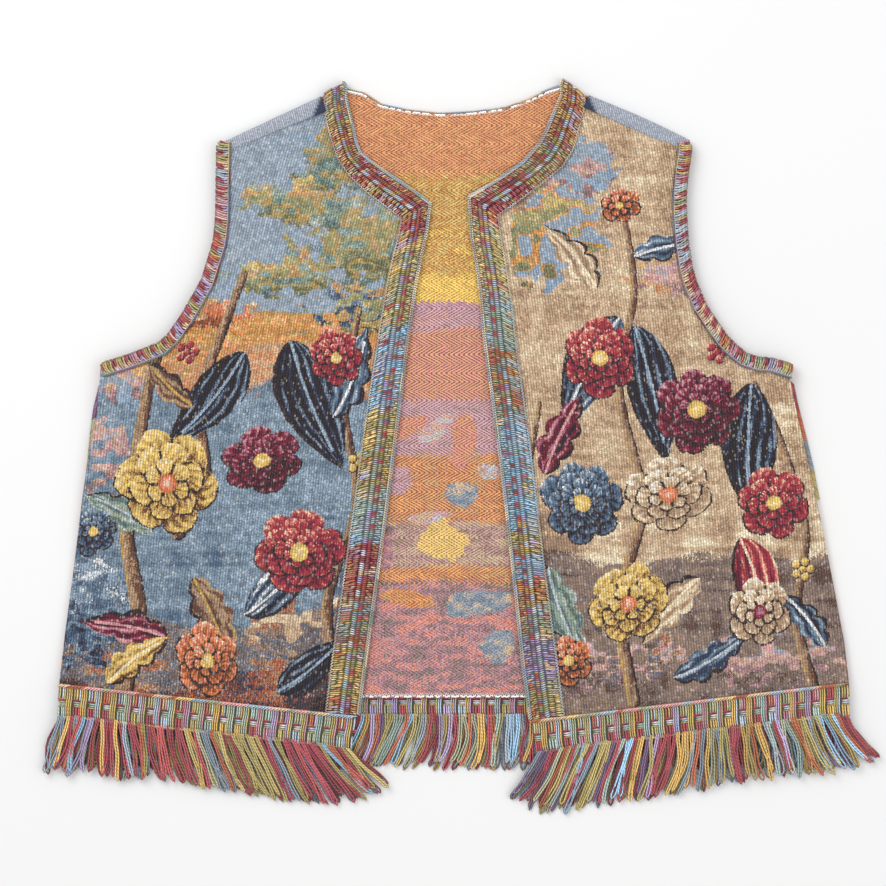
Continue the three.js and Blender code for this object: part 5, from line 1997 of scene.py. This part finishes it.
@dataclass
class Fringe(Trimming):
    """Looped yarns that hang from a band and lie on the surface."""

    slant: tuple[tuple[float, float], ...]
    red: float = 0.0
    pitch: float = 1.62 * MM
    radius: float = 0.72 * MM
    layers: int = 2

    SLOT = "fringe"
    KIND = "strands"
    SIDES = 6
    UNEVEN = 0.06
    DYES = (
        Yarn.CRIMSON, Yarn.CRIMSON, Yarn.CRIMSON, Yarn.CRIMSON, Yarn.OLIVE, Yarn.OLIVE, Yarn.OLIVE, Yarn.SAGE,
        Yarn.BRIGHT_SKY, Yarn.BRIGHT_SKY, Yarn.SKY, Yarn.SLATE, Yarn.SEA, Yarn.RUST, Yarn.LILAC, Yarn.VIOLET,
        Yarn.MUSTARD, Yarn.MUSTARD, Yarn.SLATE,
    )
    REDS = (Yarn.CRIMSON, Yarn.CRIMSON, Yarn.CRIMSON, Yarn.SCARLET, Yarn.BURGUNDY, Yarn.OLIVE)

    def _lay_yarns(self) -> None:
        """Lays the loops layer by layer; the first edge of the pairs is the one at the band."""
        chance, length = self.chance, self.ribbon.length
        turns = np.array(self.slant, float) * MM
        knots = np.arange(0, length + 20 * MM, 13 * MM)
        waves = chance.uniform(-4.6, 4.6, len(knots)) * MM
        for layer in range(self.layers):
            s, left, colour = 1.2 * MM, 0, varied(chance, Yarn.CRIMSON)
            while s < length - 1.2 * MM:
                if left <= 0:
                    left = int(chance.choice([1, 1, 1, 1, 1, 2]))
                    dyes = self.REDS if chance.random() < self.red else self.DYES
                    # The lower layer is darkened by half, as painted shade under the upper one.
                    colour = varied(chance, pick(chance, dyes), 0.15) * (1.0 - 0.5 * layer)
                left -= 1
                sway = np.interp(s, turns[:, 0], turns[:, 1]) + np.interp(s, knots, waves)
                sway += chance.normal(0, 2.3) * MM
                curl = 0.6 * np.interp(s, knots, waves[::-1]) + chance.normal(0, 1.4) * MM
                reach = chance.uniform(0.83, 1.0)
                self._loop(s, sway, curl, reach, colour * chance.uniform(0.72, 1.2), layer)
                s += 2 * self.pitch * chance.uniform(0.9, 1.2)

    def _loop(self, s: float, sway: float, curl: float, reach: float, colour: Array, layer: int) -> None:
        """One yarn that runs down, turns and runs back.

        Args:
            s: where it leaves the band, in metres.
            sway: how far its tip lies to the side, in metres.
            curl: how far it bows, in metres.
            reach: its length as a share of the solid's depth.
            colour: its linear colour.
            layer: 0 on top or 1 below.
        """
        chance, ribbon = self.chance, self.ribbon
        low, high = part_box(self.node)
        down = np.array([-0.10, 0.04, 0.18, 0.34, 0.5, 0.66, 0.8, 0.91]) * reach
        half = self.pitch * (0.5 + chance.choice([0.0, 0.0, 0.25, 0.55]) * (down / reach).clip(0, 1) ** 3)
        tip = reach + np.array([-0.05, -0.01, -0.05])
        share = np.concatenate([down, tip, down[::-1] * chance.uniform(0.97, 1.0)])
        offset = np.concatenate([-half, half[-1] * np.array([-0.8, 0, 0.8]), half[::-1]])
        along = np.clip(share, 0, 1)
        bow = np.sin(along * math.pi) * curl + along**1.7 * sway + 0.5 * MM * np.sin(along * 9 + s * 900)
        target = s + offset + bow
        run = np.clip(target, 0.2 * MM, ribbon.length - 0.2 * MM)
        flat = ribbon.flat(run, np.clip(share, -0.12, 1.0))
        start, stop = ribbon.flat(np.array([0.0, ribbon.length]), np.array([0.5, 0.5]))
        way = (stop - start)[None, :]
        flat = flat + (target - run)[:, None] * way / np.linalg.norm(way)
        flat[:, 0] = np.clip(flat[:, 0], low.x - 4 * MM, high.x + 4 * MM)
        probe = ribbon.flat(run, np.clip(share, 0.02, 0.97))
        top, bottom = ribbon.solid.top(probe), ribbon.solid.bottom(probe)
        level = 0.8 - 0.7 * layer + chance.uniform(-0.2, 0.2)
        rise = np.clip(level + 0.25 * np.sin(along * 7 + s * 700), 0, 1)
        z = bottom + self.radius + (top - bottom - 2 * self.radius) * rise
        self.work.lay(np.column_stack([flat, z]), self.radius * chance.uniform(0.94, 1.06), colour, 1.0)


@dataclass
class ArmholeBinding(Trimming):
    """A folded braid over the edge of an armhole; one leg of it lies on a front or under the back."""

    shades: tuple[Shade, ...]
    upper: bool = True
    pitch: float = 1.62 * MM
    period: float = 9.6 * MM

    SLOT = "binding"

    def _solid(self) -> CadSolid:
        """The leg's solid, whose outline is taken from the side that shows."""
        solid = CadSolid(self.node)
        if not self.upper:
            solid.upper = solid.lower
        return solid

    def _lay_yarns(self) -> None:
        """Lays the ribs and the cord; the first edge of the pairs is the armhole."""
        self._ribs()
        self._inner_cord()

    def _ribs(self) -> None:
        """Bowed yarns across the leg, with a crimson lump at the rim in every repeat."""
        chance, length = self.chance, self.ribbon.length
        whole = np.array([0.0, 0.03, 0.14, 0.34, 0.6, 0.8, 0.87])
        colour, pale, odd = varied(chance, Yarn.OLIVE), Yarn.SAGE, False
        for s, starts in self._runs(self.pitch / MM, 1, 3):
            if min(s, length - s) < (1 if self.upper else 4) * MM:
                continue
            phase = (s % self.period) / self.period
            if phase * self.period < self.pitch:
                pale = pick(chance, (Yarn.THISTLE, Yarn.LILAC, Yarn.SAND, Yarn.ASH, Yarn.TAN))
            if starts:
                colour = self._dyed(shade_at(self.shades, s))
            odd = not odd
            level = chance.uniform(0.9, 1.16) if odd else chance.uniform(0.62, 0.9)
            width = 0.84 * MM * chance.uniform(0.88, 1.12)
            lean, bow = chance.uniform(-0.6, 2.2) * MM, chance.uniform(0.5, 1.7) * MM
            split = chance.uniform(0.4, 0.6)
            inner = np.array([split - 0.04, 0.62, 0.75, 0.84, 0.88])
            runs = ((whole, colour, 0.0),)
            if phase < 0.4:
                rim = np.array([0.0, 0.03, 0.16, 0.3, split])
                runs = ((rim, varied(chance, Yarn.CRIMSON), 0.25 * MM), (inner, varied(chance, pale), 0.0))
            elif chance.random() < 0.35:
                rim = np.array([0.0, 0.03, 0.14, 0.26, split])
                runs = ((rim, colour, 0.0), (inner, 0.5 * colour + 0.5 * varied(chance, pale), 0.15 * MM))
            for share, tint, proud in runs:
                sway = (share - 0.5) * lean - np.sin(share * math.pi) * bow
                self._wrap(s + 0.5 * bow + sway, share, tint * level, width, proud)

    def _inner_cord(self) -> None:
        """A pale line and a twisted cord along the inner edge."""
        pale, deep = varied(self.chance, Yarn.MIST), varied(self.chance, Yarn.CRIMSON)
        for s, starts in self._runs(1.9, 4, 9):
            if starts:
                pale = self._dyed((Yarn.SKY, Yarn.ASH, Yarn.SAND))
                deep = self._dyed((Yarn.STEEL, Yarn.BURGUNDY, Yarn.STONE, Yarn.VIOLET, Yarn.MOSS))
            line, cord = np.array([0.86, 0.868, 0.86]), np.array([0.9, 0.94, 0.985])
            self._wrap(s + np.array([-1.0, 0, 1.0]) * MM, line, pale, 0.32 * MM, 0.15 * MM)
            self._wrap(s + np.array([-1.1, 0, 1.1]) * MM, cord, 0.75 * deep, 0.78 * MM, 0.3 * MM)

    def _levels(self, s: Array, share: Array) -> tuple[Array, Array]:
        """Places across the leg with the height of its outside."""
        s = np.clip(s, 0.3 * MM, self.ribbon.length - 0.3 * MM)
        flat = self.ribbon.flat(s, np.clip(share, 0.02, 0.99))
        probe = self.ribbon.flat(s, np.clip(share, 0.06, 0.95))
        return flat, self.ribbon.solid.top(probe) if self.upper else self.ribbon.solid.bottom(probe)

    def _wrap(self, s: Array, share: Array, colour: Array, radius: float, proud: float) -> None:
        """Lays a yarn on the outside of the leg, which turns down over the armhole's edge.

        Args:
            s: run of its points, in metres.
            share: their places across the leg.
            colour: its linear colour.
            radius: half its thickness, in metres.
            proud: how far it stands out, in metres.
        """
        way = 1 if self.upper else -1
        end = np.clip(np.minimum(s, self.ribbon.length - s) / (6 * MM), 0, 1)
        drawn = 0.45 + 0.55 * np.sqrt(1 - (1 - end) ** 2)
        flat, out = self._levels(s, 0.9 + (share - 0.9) * drawn)
        drop = np.clip(1 - share / 0.2, 0, 1) ** 2 * 2.6 * MM + (1 - np.sqrt(end)) * 1.5 * MM
        z = out - way * (radius - proud + drop)
        if share[0] < 0.01:
            z[0] = (5.3 if self.upper else 5.1) * MM + way * 0.6 * MM
        self.work.lay(np.column_stack([flat, z]), radius, colour, 0.8)

    def _core(self, material: bpy.types.Material) -> bpy.types.Object:
        """The cloth of the leg under its yarns, darkened as painted shade."""
        rows, columns = max(4, int(self.ribbon.length / (4 * MM))), 5
        run = np.repeat(np.linspace(4.5 * MM, self.ribbon.length - 4.5 * MM, rows), columns)
        flat, out = self._levels(run, np.tile(np.linspace(0.1, 0.93, columns), rows))
        way = 1 if self.upper else -1
        sides = [np.column_stack([flat, out - way * depth * MM]) for depth in (1.05, 1.4)][::way]
        dye = np.tile(np.array(Yarn.MOSS.light) * 0.4, (rows * columns, 1))
        return slab(self.node + "_core", *sides, rows, dye, material)


@dataclass
class SideBraid(Trimming):
    """The short twisted cord that shows beside the top of a side seam, with dark yarns beside it as a painted
    shadow.
    """

    dyes: tuple[Yarn, ...]

    SLOT = "binding"

    def _lay_yarns(self) -> None:
        """Lays the cord's turns and the dark yarns of the painted shadow; the first edge of the pairs is the
        free one.
        """
        for s, _ in self._runs(1.5, 1, 3):
            at = np.clip(s + np.array([1.9, 0.8, -0.8, -1.9]) * MM, 0, self.ribbon.length)
            dye = self.dyes[min(len(self.dyes) - 1, int(s / self.ribbon.length * len(self.dyes)))]
            path = self.ribbon.place(at, (0.02, 0.1, 0.22, 0.3), 0.0)
            path[:, 2] = np.array([0.9, 1.75, 1.75, 0.9]) * MM
            self.work.lay(path, 0.72 * MM, varied(self.chance, dye, 0.25), 0.8)
            # Dark yarns across the rest of the strip stand for the shadow beside the cord: a painted shadow.
            painted_shadow = varied(self.chance, Yarn.INK, 0.2)
            self._stitch(np.full(3, s), (0.32, 0.6, 0.97), (0.85, 0.85, 0.85), 0.62, painted_shadow, 0.8)


@dataclass
class OverlockEdge:
    """A zigzag of fine thread over a raw edge of the back."""

    name: str
    start: tuple[float, float]
    stop: tuple[float, float]
    depth: float
    step: float = 1.5 * MM

    THREADS = ((0.08, 0.2, 0.34, 0), (0.06, 0.5, 0.34, 0), (0.1, 1.0, 0.24, 0), (0.1, 0.95, 0.22, 1))

    def build(self, back: CadSolid, wardrobe: Wardrobe, tubes: YarnTubes) -> bpy.types.Object:
        """Builds the stitches.

        Args:
            back: the back's CAD solid.
            wardrobe: the materials.
            tubes: the tube tree.

        Returns:
            The stitches.
        """
        path = stretch(back.lower, self.start, self.stop)
        line = even(path, int(length_of(path) / self.step))
        way = np.gradient(line, axis=0)
        way /= np.linalg.norm(way, axis=1)[:, None]
        side = np.column_stack([-way[:, 1], way[:, 0]])
        middle = len(line) // 2
        if not within(back.lower, (line[middle] + side[middle] * 2 * MM)[None, :])[0]:
            side = -side
        chance = np.random.default_rng(17)
        work = YarnWork(self.name, sides=5, uneven=0.05)
        wander = chance.uniform(0.85, 1.05, len(line))
        for near, far, radius, offset in self.THREADS:
            reach = np.where((np.arange(len(line)) + offset) % 2 == 0, near, far) * self.depth * wander
            flat = line + side * reach[:, None]
            z = back.bottom(flat) + 1.5 * MM + 0.55 * MM
            work.lay(np.column_stack([flat, z]), radius * MM, varied(chance, Yarn.WHITE, 0.03))
        return seat(work.make(tubes, wardrobe.thread), "tapestry_back")


@dataclass
class ShoulderStrip:
    """The back's plain cloth that rolls over a shoulder and meets the front."""

    name: str
    fold: tuple[tuple[float, float], ...]
    seam: tuple[tuple[float, float], ...]
    thick: float = 1.4 * MM
    low: float = 0.8 * MM
    high: float = 7.5 * MM

    def build(self, wardrobe: Wardrobe) -> bpy.types.Object:
        """Builds the strip as a rolled sheet.

        Args:
            wardrobe: the materials.

        Returns:
            The strip.
        """
        rows = 40
        outer, inner = [], []
        for f, s in zip(even(np.array(self.fold) * MM, rows - 1), even(np.array(self.seam) * MM, rows - 1)):
            way = (f - s) / np.linalg.norm(f - s)
            for place, z, (ca, sa) in self._profile(f, s, way):
                half = self.thick / 2
                outer.append((*(place + way * ca * half), z + sa * half))
                inner.append((*(place - way * ca * half), z - sa * half))
        columns = len(outer) // rows
        faces = closed_sheet(grid_cells(rows, columns), len(outer))[0]
        mesh = bpy.data.meshes.new(self.name)
        mesh.from_pydata([list(map(float, p)) for p in outer + inner], [], faces.tolist())
        work = bmesh.new()
        work.from_mesh(mesh)
        bmesh.ops.recalc_face_normals(work, faces=work.faces)
        work.to_mesh(mesh)
        work.free()
        mesh.polygons.foreach_set("use_smooth", np.ones(len(mesh.polygons), bool))
        # The strip's end at the neck braid is marked for a painted shadow, which turns the cloth navy there.
        run = np.repeat(np.linspace(0, 1, rows), columns)
        across = np.tile(np.clip((columns - 1 - np.arange(columns)) / 6, 0, 1), rows)
        painted_shade = np.tile(np.clip((run - 0.86 - 0.12 * across) / 0.02, 0, 1), 2)
        mesh.attributes.new("painted_shade", "FLOAT", "POINT").data.foreach_set("value", painted_shade)
        mesh.materials.append(wardrobe.shoulder)
        mesh.update()
        return seat(linked(self.name, mesh), "tapestry_back", "back_panel")

    def _profile(self, fold: Array, seam: Array,
                 way: Array) -> list[tuple[Array, float, tuple[float, float]]]:
        """The strip's middle line from under the fold to the seam.

        Args:
            fold: x and y of the fold.
            seam: x and y of the seam.
            way: unit direction from the seam to the fold.

        Returns:
            Place, height and outward direction of each point.
        """
        arc, radius = 9, (self.high - self.low) / 2
        centre = fold - way * (radius + self.thick / 2)
        made = [(centre - way * 5 * MM, self.low, (0, -1)), (centre, self.low, (0, -1))]
        for k in range(1, arc):
            a = -math.pi / 2 + math.pi * k / arc
            ca, sa = math.cos(a), math.sin(a)
            made.append((centre + way * radius * ca, (self.low + self.high) / 2 + radius * sa, (ca, sa)))
        reach = float(np.dot(seam - centre, way))
        return made + [(centre + way * reach * k / 4, self.high, (0, 1)) for k in range(5)]


# ---------------------------------------------------------------- tables of the trimmings

COOL = (Yarn.BRIGHT_SKY, Yarn.SKY, Yarn.LILAC, Yarn.SLATE)
GREEN = (Yarn.OLIVE, Yarn.MUSTARD, Yarn.SAGE, Yarn.OLIVE)
SEA = (Yarn.SEA, Yarn.SAGE, Yarn.SKY)
WARM = (Yarn.CRIMSON, Yarn.RUST, Yarn.CRIMSON, Yarn.OLIVE)
RUSTY = (Yarn.RUST, Yarn.OLIVE, Yarn.MUSTARD)
PURPLE = (Yarn.LILAC, Yarn.VIOLET, Yarn.SLATE)
BRIGHT = (Yarn.BRIGHT_SKY, Yarn.BRIGHT_SKY, Yarn.SKY, Yarn.SEA)
GOLDEN = (Yarn.OLIVE, Yarn.MUSTARD, Yarn.STRAW, Yarn.SAGE)
MILD = (Yarn.OLIVE, Yarn.SAGE, Yarn.SLATE, Yarn.RUST)
TAWNY = (Yarn.RUST, Yarn.SAND, Yarn.SCARLET, Yarn.ORCHID, Yarn.SAGE)
ROSY = (Yarn.RUST, Yarn.SCARLET, Yarn.MAUVE, Yarn.ORCHID, Yarn.OLIVE)
MISTY = (Yarn.SKY, Yarn.LILAC, Yarn.ASH, Yarn.MAUVE, Yarn.SAGE, Yarn.TAN)
MIXED = (Yarn.RUST, Yarn.OLIVE, Yarn.ORCHID, Yarn.SAGE, Yarn.MAUVE, Yarn.LILAC, Yarn.TAN)
STRAYS = (Yarn.MUSTARD, Yarn.RUST, Yarn.SKY, Yarn.LILAC, Yarn.CRIMSON, Yarn.OLIVE, Yarn.SAND)


def shades(*stretches: tuple[float, tuple[Yarn, ...]]) -> tuple[Shade, ...]:
    """Stretches of a trimming from where each ends and its yarns."""
    return tuple(Shade(until, yarns) for until, yarns in stretches)


NECK_BRAIDS = (
    NeckBraid(
        "neck_braid_left",
        ((-69.1, -188.1, -93.9, -185.5), (-19.1, 170.4, -41.0, 158.7), (-80.0, 255.8, -95.9, 247.6)),
        11,
        shades((10, RUSTY), (35, GOLDEN), (78, MILD), (119, WARM), (126, BRIGHT), (156, SEA), (191, GREEN),
               (215, GOLDEN), (271, BRIGHT), (335, GOLDEN), (410, WARM), (440, RUSTY), (999, MILD)),
    ),
    NeckBraid(
        "neck_braid_right",
        ((50.2, -190.8, 74.6, -188.0), (5.7, 175.0, 28.0, 161.2), (72.7, 255.1, 88.8, 246.1)),
        12,
        shades((24, GREEN), (55, PURPLE), (79, MILD), (98, RUSTY), (114, COOL), (131, GREEN), (210, BRIGHT),
               (262, MILD), (300, SEA), (350, GOLDEN), (392, WARM), (430, MILD), (999, RUSTY)),
    ),
    NeckBraid(
        "neck_braid_back",
        ((-78.0, 250.6, -93.6, 243.2), (-13.5, 233.4, -14.5, 211.2), (70.3, 252.9, 87.2, 242.7)),
        13,
        shades((40, WARM), (90, GREEN), (999, COOL)),
    ),
)
HEM_BANDS = (
    HemBand("hem_band_front_left", ((-279.4, -165.9, -280.8, -190.8), (-71.2, -188.3, -74.1, -212.8)), 21),
    HemBand("hem_band_front_right", ((50.2, -191.0, 53.1, -215.0), (272.2, -165.1, 273.4, -189.3)), 22),
    HemBand("hem_band_back", ((-279.5, -166.5, -279.5, -190.5), (272.3, -166.0, 272.3, -190.0)), 23),
)
FRINGES = (
    Fringe("fringe_front_left", ((-280.8, -191.6, -292.0, -229.0), (-74.1, -213.6, -46.5, -239.2)), 41,
           ((0, -5), (40, 3), (110, 5), (170, 3), (206, 1)), red=0.4),
    Fringe("fringe_front_right", ((53.1, -215.8, 32.5, -247.1), (273.4, -190.1, 292.0, -222.0)), 42,
           ((0, -2), (40, -4), (120, -4), (180, 2), (221, 6))),
    Fringe("fringe_back", ((-279.5, -190.8, -282.8, -227.5), (272.3, -190.3, 275.6, -227.5)), 43,
           ((0, 0), (180, -6), (205, -16), (231, -19), (262, -14), (300, -8), (333, 0), (360, 3), (551, 0))),
)
SIDE_BRAIDS = (
    SideBraid("side_braid_left", ((-251.8, 44.4, -239.8, 43.4), (-261.3, -19.0, -249.3, -20.0)), 61,
              (Yarn.VIOLET, Yarn.VIOLET, Yarn.SAGE, Yarn.OLIVE, Yarn.MUSTARD)),
    SideBraid("side_braid_right", ((233.9, 45.2, 221.9, 44.2), (252.1, -37.0, 240.1, -38.0)), 62,
              (Yarn.CRIMSON, Yarn.RUST, Yarn.SLATE, Yarn.OLIVE)),
)
LEFT_ARMHOLE = ((-251.5, 56.4, -249.0, 48.0), (-212.0, 72.0, -205.7, 64.0), (-168.1, 213.3, -159.3, 213.2))
RIGHT_ARMHOLE = ((234.8, 55.2, 232.1, 46.8), (206.0, 62.0, 202.0, 53.0), (161.4, 212.5, 152.6, 213.1))
LEFT_BIND = shades((16, GREEN), (34, ROSY), (50, GREEN), (112, MIXED), (128, ROSY), (150, TAWNY), (172, ROSY),
                   (188, MISTY), (999, GREEN))
RIGHT_BIND = shades((12, ROSY), (36, MISTY), (62, ROSY), (84, TAWNY), (108, ROSY), (178, MISTY), (999, RUSTY))
BINDINGS = (
    ArmholeBinding("armhole_binding_front_left", LEFT_ARMHOLE, 51, LEFT_BIND),
    ArmholeBinding("armhole_binding_back_left", LEFT_ARMHOLE, 49, LEFT_BIND, upper=False),
    ArmholeBinding("armhole_binding_front_right", RIGHT_ARMHOLE, 53, RIGHT_BIND),
    ArmholeBinding("armhole_binding_back_right", RIGHT_ARMHOLE, 51, RIGHT_BIND, upper=False),
)
SHOULDERS = (
    ShoulderStrip("shoulder_strip_left", ((-167.8, 211.4), (-157.5, 216.1), (-127.7, 230.1), (-96.8, 244.5)),
                  ((-166.0, 204.2), (-92.6, 233.9))),
    ShoulderStrip("shoulder_strip_right",
                  ((161.3, 213.7), (152.4, 218.3), (137.4, 225.5), (121.8, 232.6), (90.8, 245.3)),
                  ((159.2, 204.4), (86.5, 236.7))),
)
OVERLOCKS = (
    OverlockEdge("overlock_neck", (-80.2, 249.2), (73.2, 251.2), 2.0 * MM, 1.2 * MM),
    OverlockEdge("overlock_hem", (-279.2, -176.3), (271.9, -175.2), 3.4 * MM),
)


@dataclass
class Studio:
    """Pale floor, soft lights and a camera straight above the vest."""

    middle: tuple[float, float] = (-11.35 * MM, 2.18 * MM)
    width: float = 620.2 * MM
    height: float = 2.6

    def build(self, wardrobe: Wardrobe) -> None:
        """Sets the scene.

        Args:
            wardrobe: the materials.
        """
        scene = bpy.context.scene
        scene.view_settings.view_transform = "Standard"
        mesh = bpy.data.meshes.new("floor")
        reach = 6.0
        corners = [(-reach, -reach, 0), (reach, -reach, 0), (reach, reach, 0), (-reach, reach, 0)]
        mesh.from_pydata(corners, [], [(0, 1, 2, 3)])
        mesh.materials.append(wardrobe.floor)
        floor = linked("floor", mesh)
        floor.location.z = -0.05 * MM
        world = bpy.data.worlds.new("studio")
        world.use_nodes = True
        sky = world.node_tree.nodes["Background"].inputs
        sky["Color"].default_value, sky["Strength"].default_value = (1.0, 1.0, 1.0, 1.0), 0.62
        scene.world = world
        self._lamp("key", (-0.9, 1.0, 1.5), 1.3, 17.0)
        self._lamp("fill", (1.1, -0.3, 1.7), 1.6, 9.0)
        camera = bpy.data.cameras.new("camera")
        camera.sensor_width = 36
        camera.lens = 36 * self.height / self.width
        camera.clip_end = 20
        scene.camera = linked("camera", camera)
        scene.camera.location = (*self.middle, self.height)

    @staticmethod
    def _lamp(name: str, place: tuple[float, float, float], size: float, power: float) -> None:
        """A soft square light that looks at the vest."""
        light = bpy.data.lights.new(name, "AREA")
        light.size = size
        light.energy = power
        lamp = linked(name, light)
        lamp.location = place
        lamp.rotation_euler = (-Vector(place)).to_track_quat("-Z", "Y").to_euler()


def build_panels(wardrobe: Wardrobe) -> list[ClothPanel]:
    """Builds the three woven panels."""
    panels = [
        ClothPanel("back_panel", BACK_DESIGN, BACK_CREASES, 2.2 * MM, 0.0, "tapestry_back", face_up=False,
                   inside=BACK_INSIDE),
        ClothPanel("front_left", LEFT_DESIGN, LEFT_CREASES, 1.4 * MM, -6.0, "tapestry_left", bend=0.45),
        ClothPanel("front_right", RIGHT_DESIGN, RIGHT_CREASES, 1.4 * MM, 5.0, "tapestry_right", bend=-0.2),
    ]
    for panel in panels:
        made = panel.build(wardrobe)
        LOG.info("%s: %d faces", made.name, len(made.data.polygons))
    return panels


def report() -> None:
    """Logs the triangles and the lowest point of every piece."""
    total = 0
    for obj in bpy.context.scene.objects:
        if obj.type == "MESH" and "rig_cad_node" not in obj:
            count = sum(len(p.vertices) - 2 for p in obj.data.polygons)
            total += count
            lowest = min((v.co.z for v in obj.data.vertices), default=0.0) / MM
            LOG.info("%s: %d triangles, lowest at %.2f mm", obj.name, count, lowest)
    LOG.info("all: %d triangles", total)


def main() -> None:
    """Builds the vest, its studio and its facts."""
    logging.basicConfig(level=logging.INFO, format="%(name)s: %(message)s")
    wardrobe = Wardrobe()
    Studio().build(wardrobe)
    tubes = YarnTubes()
    panels = build_panels(wardrobe)
    trimmings = (*NECK_BRAIDS, *HEM_BANDS, *FRINGES, *SIDE_BRAIDS, *BINDINGS)
    pieces = {trimming.node: trimming.build(wardrobe, tubes) for trimming in trimmings}
    pieces.update({strip.name: strip.build(wardrobe) for strip in SHOULDERS})
    back = CadSolid("back_panel")
    pieces.update({edge.name: edge.build(back, wardrobe, tubes) for edge in OVERLOCKS})
    report()


if __name__ == "__main__":
    main()
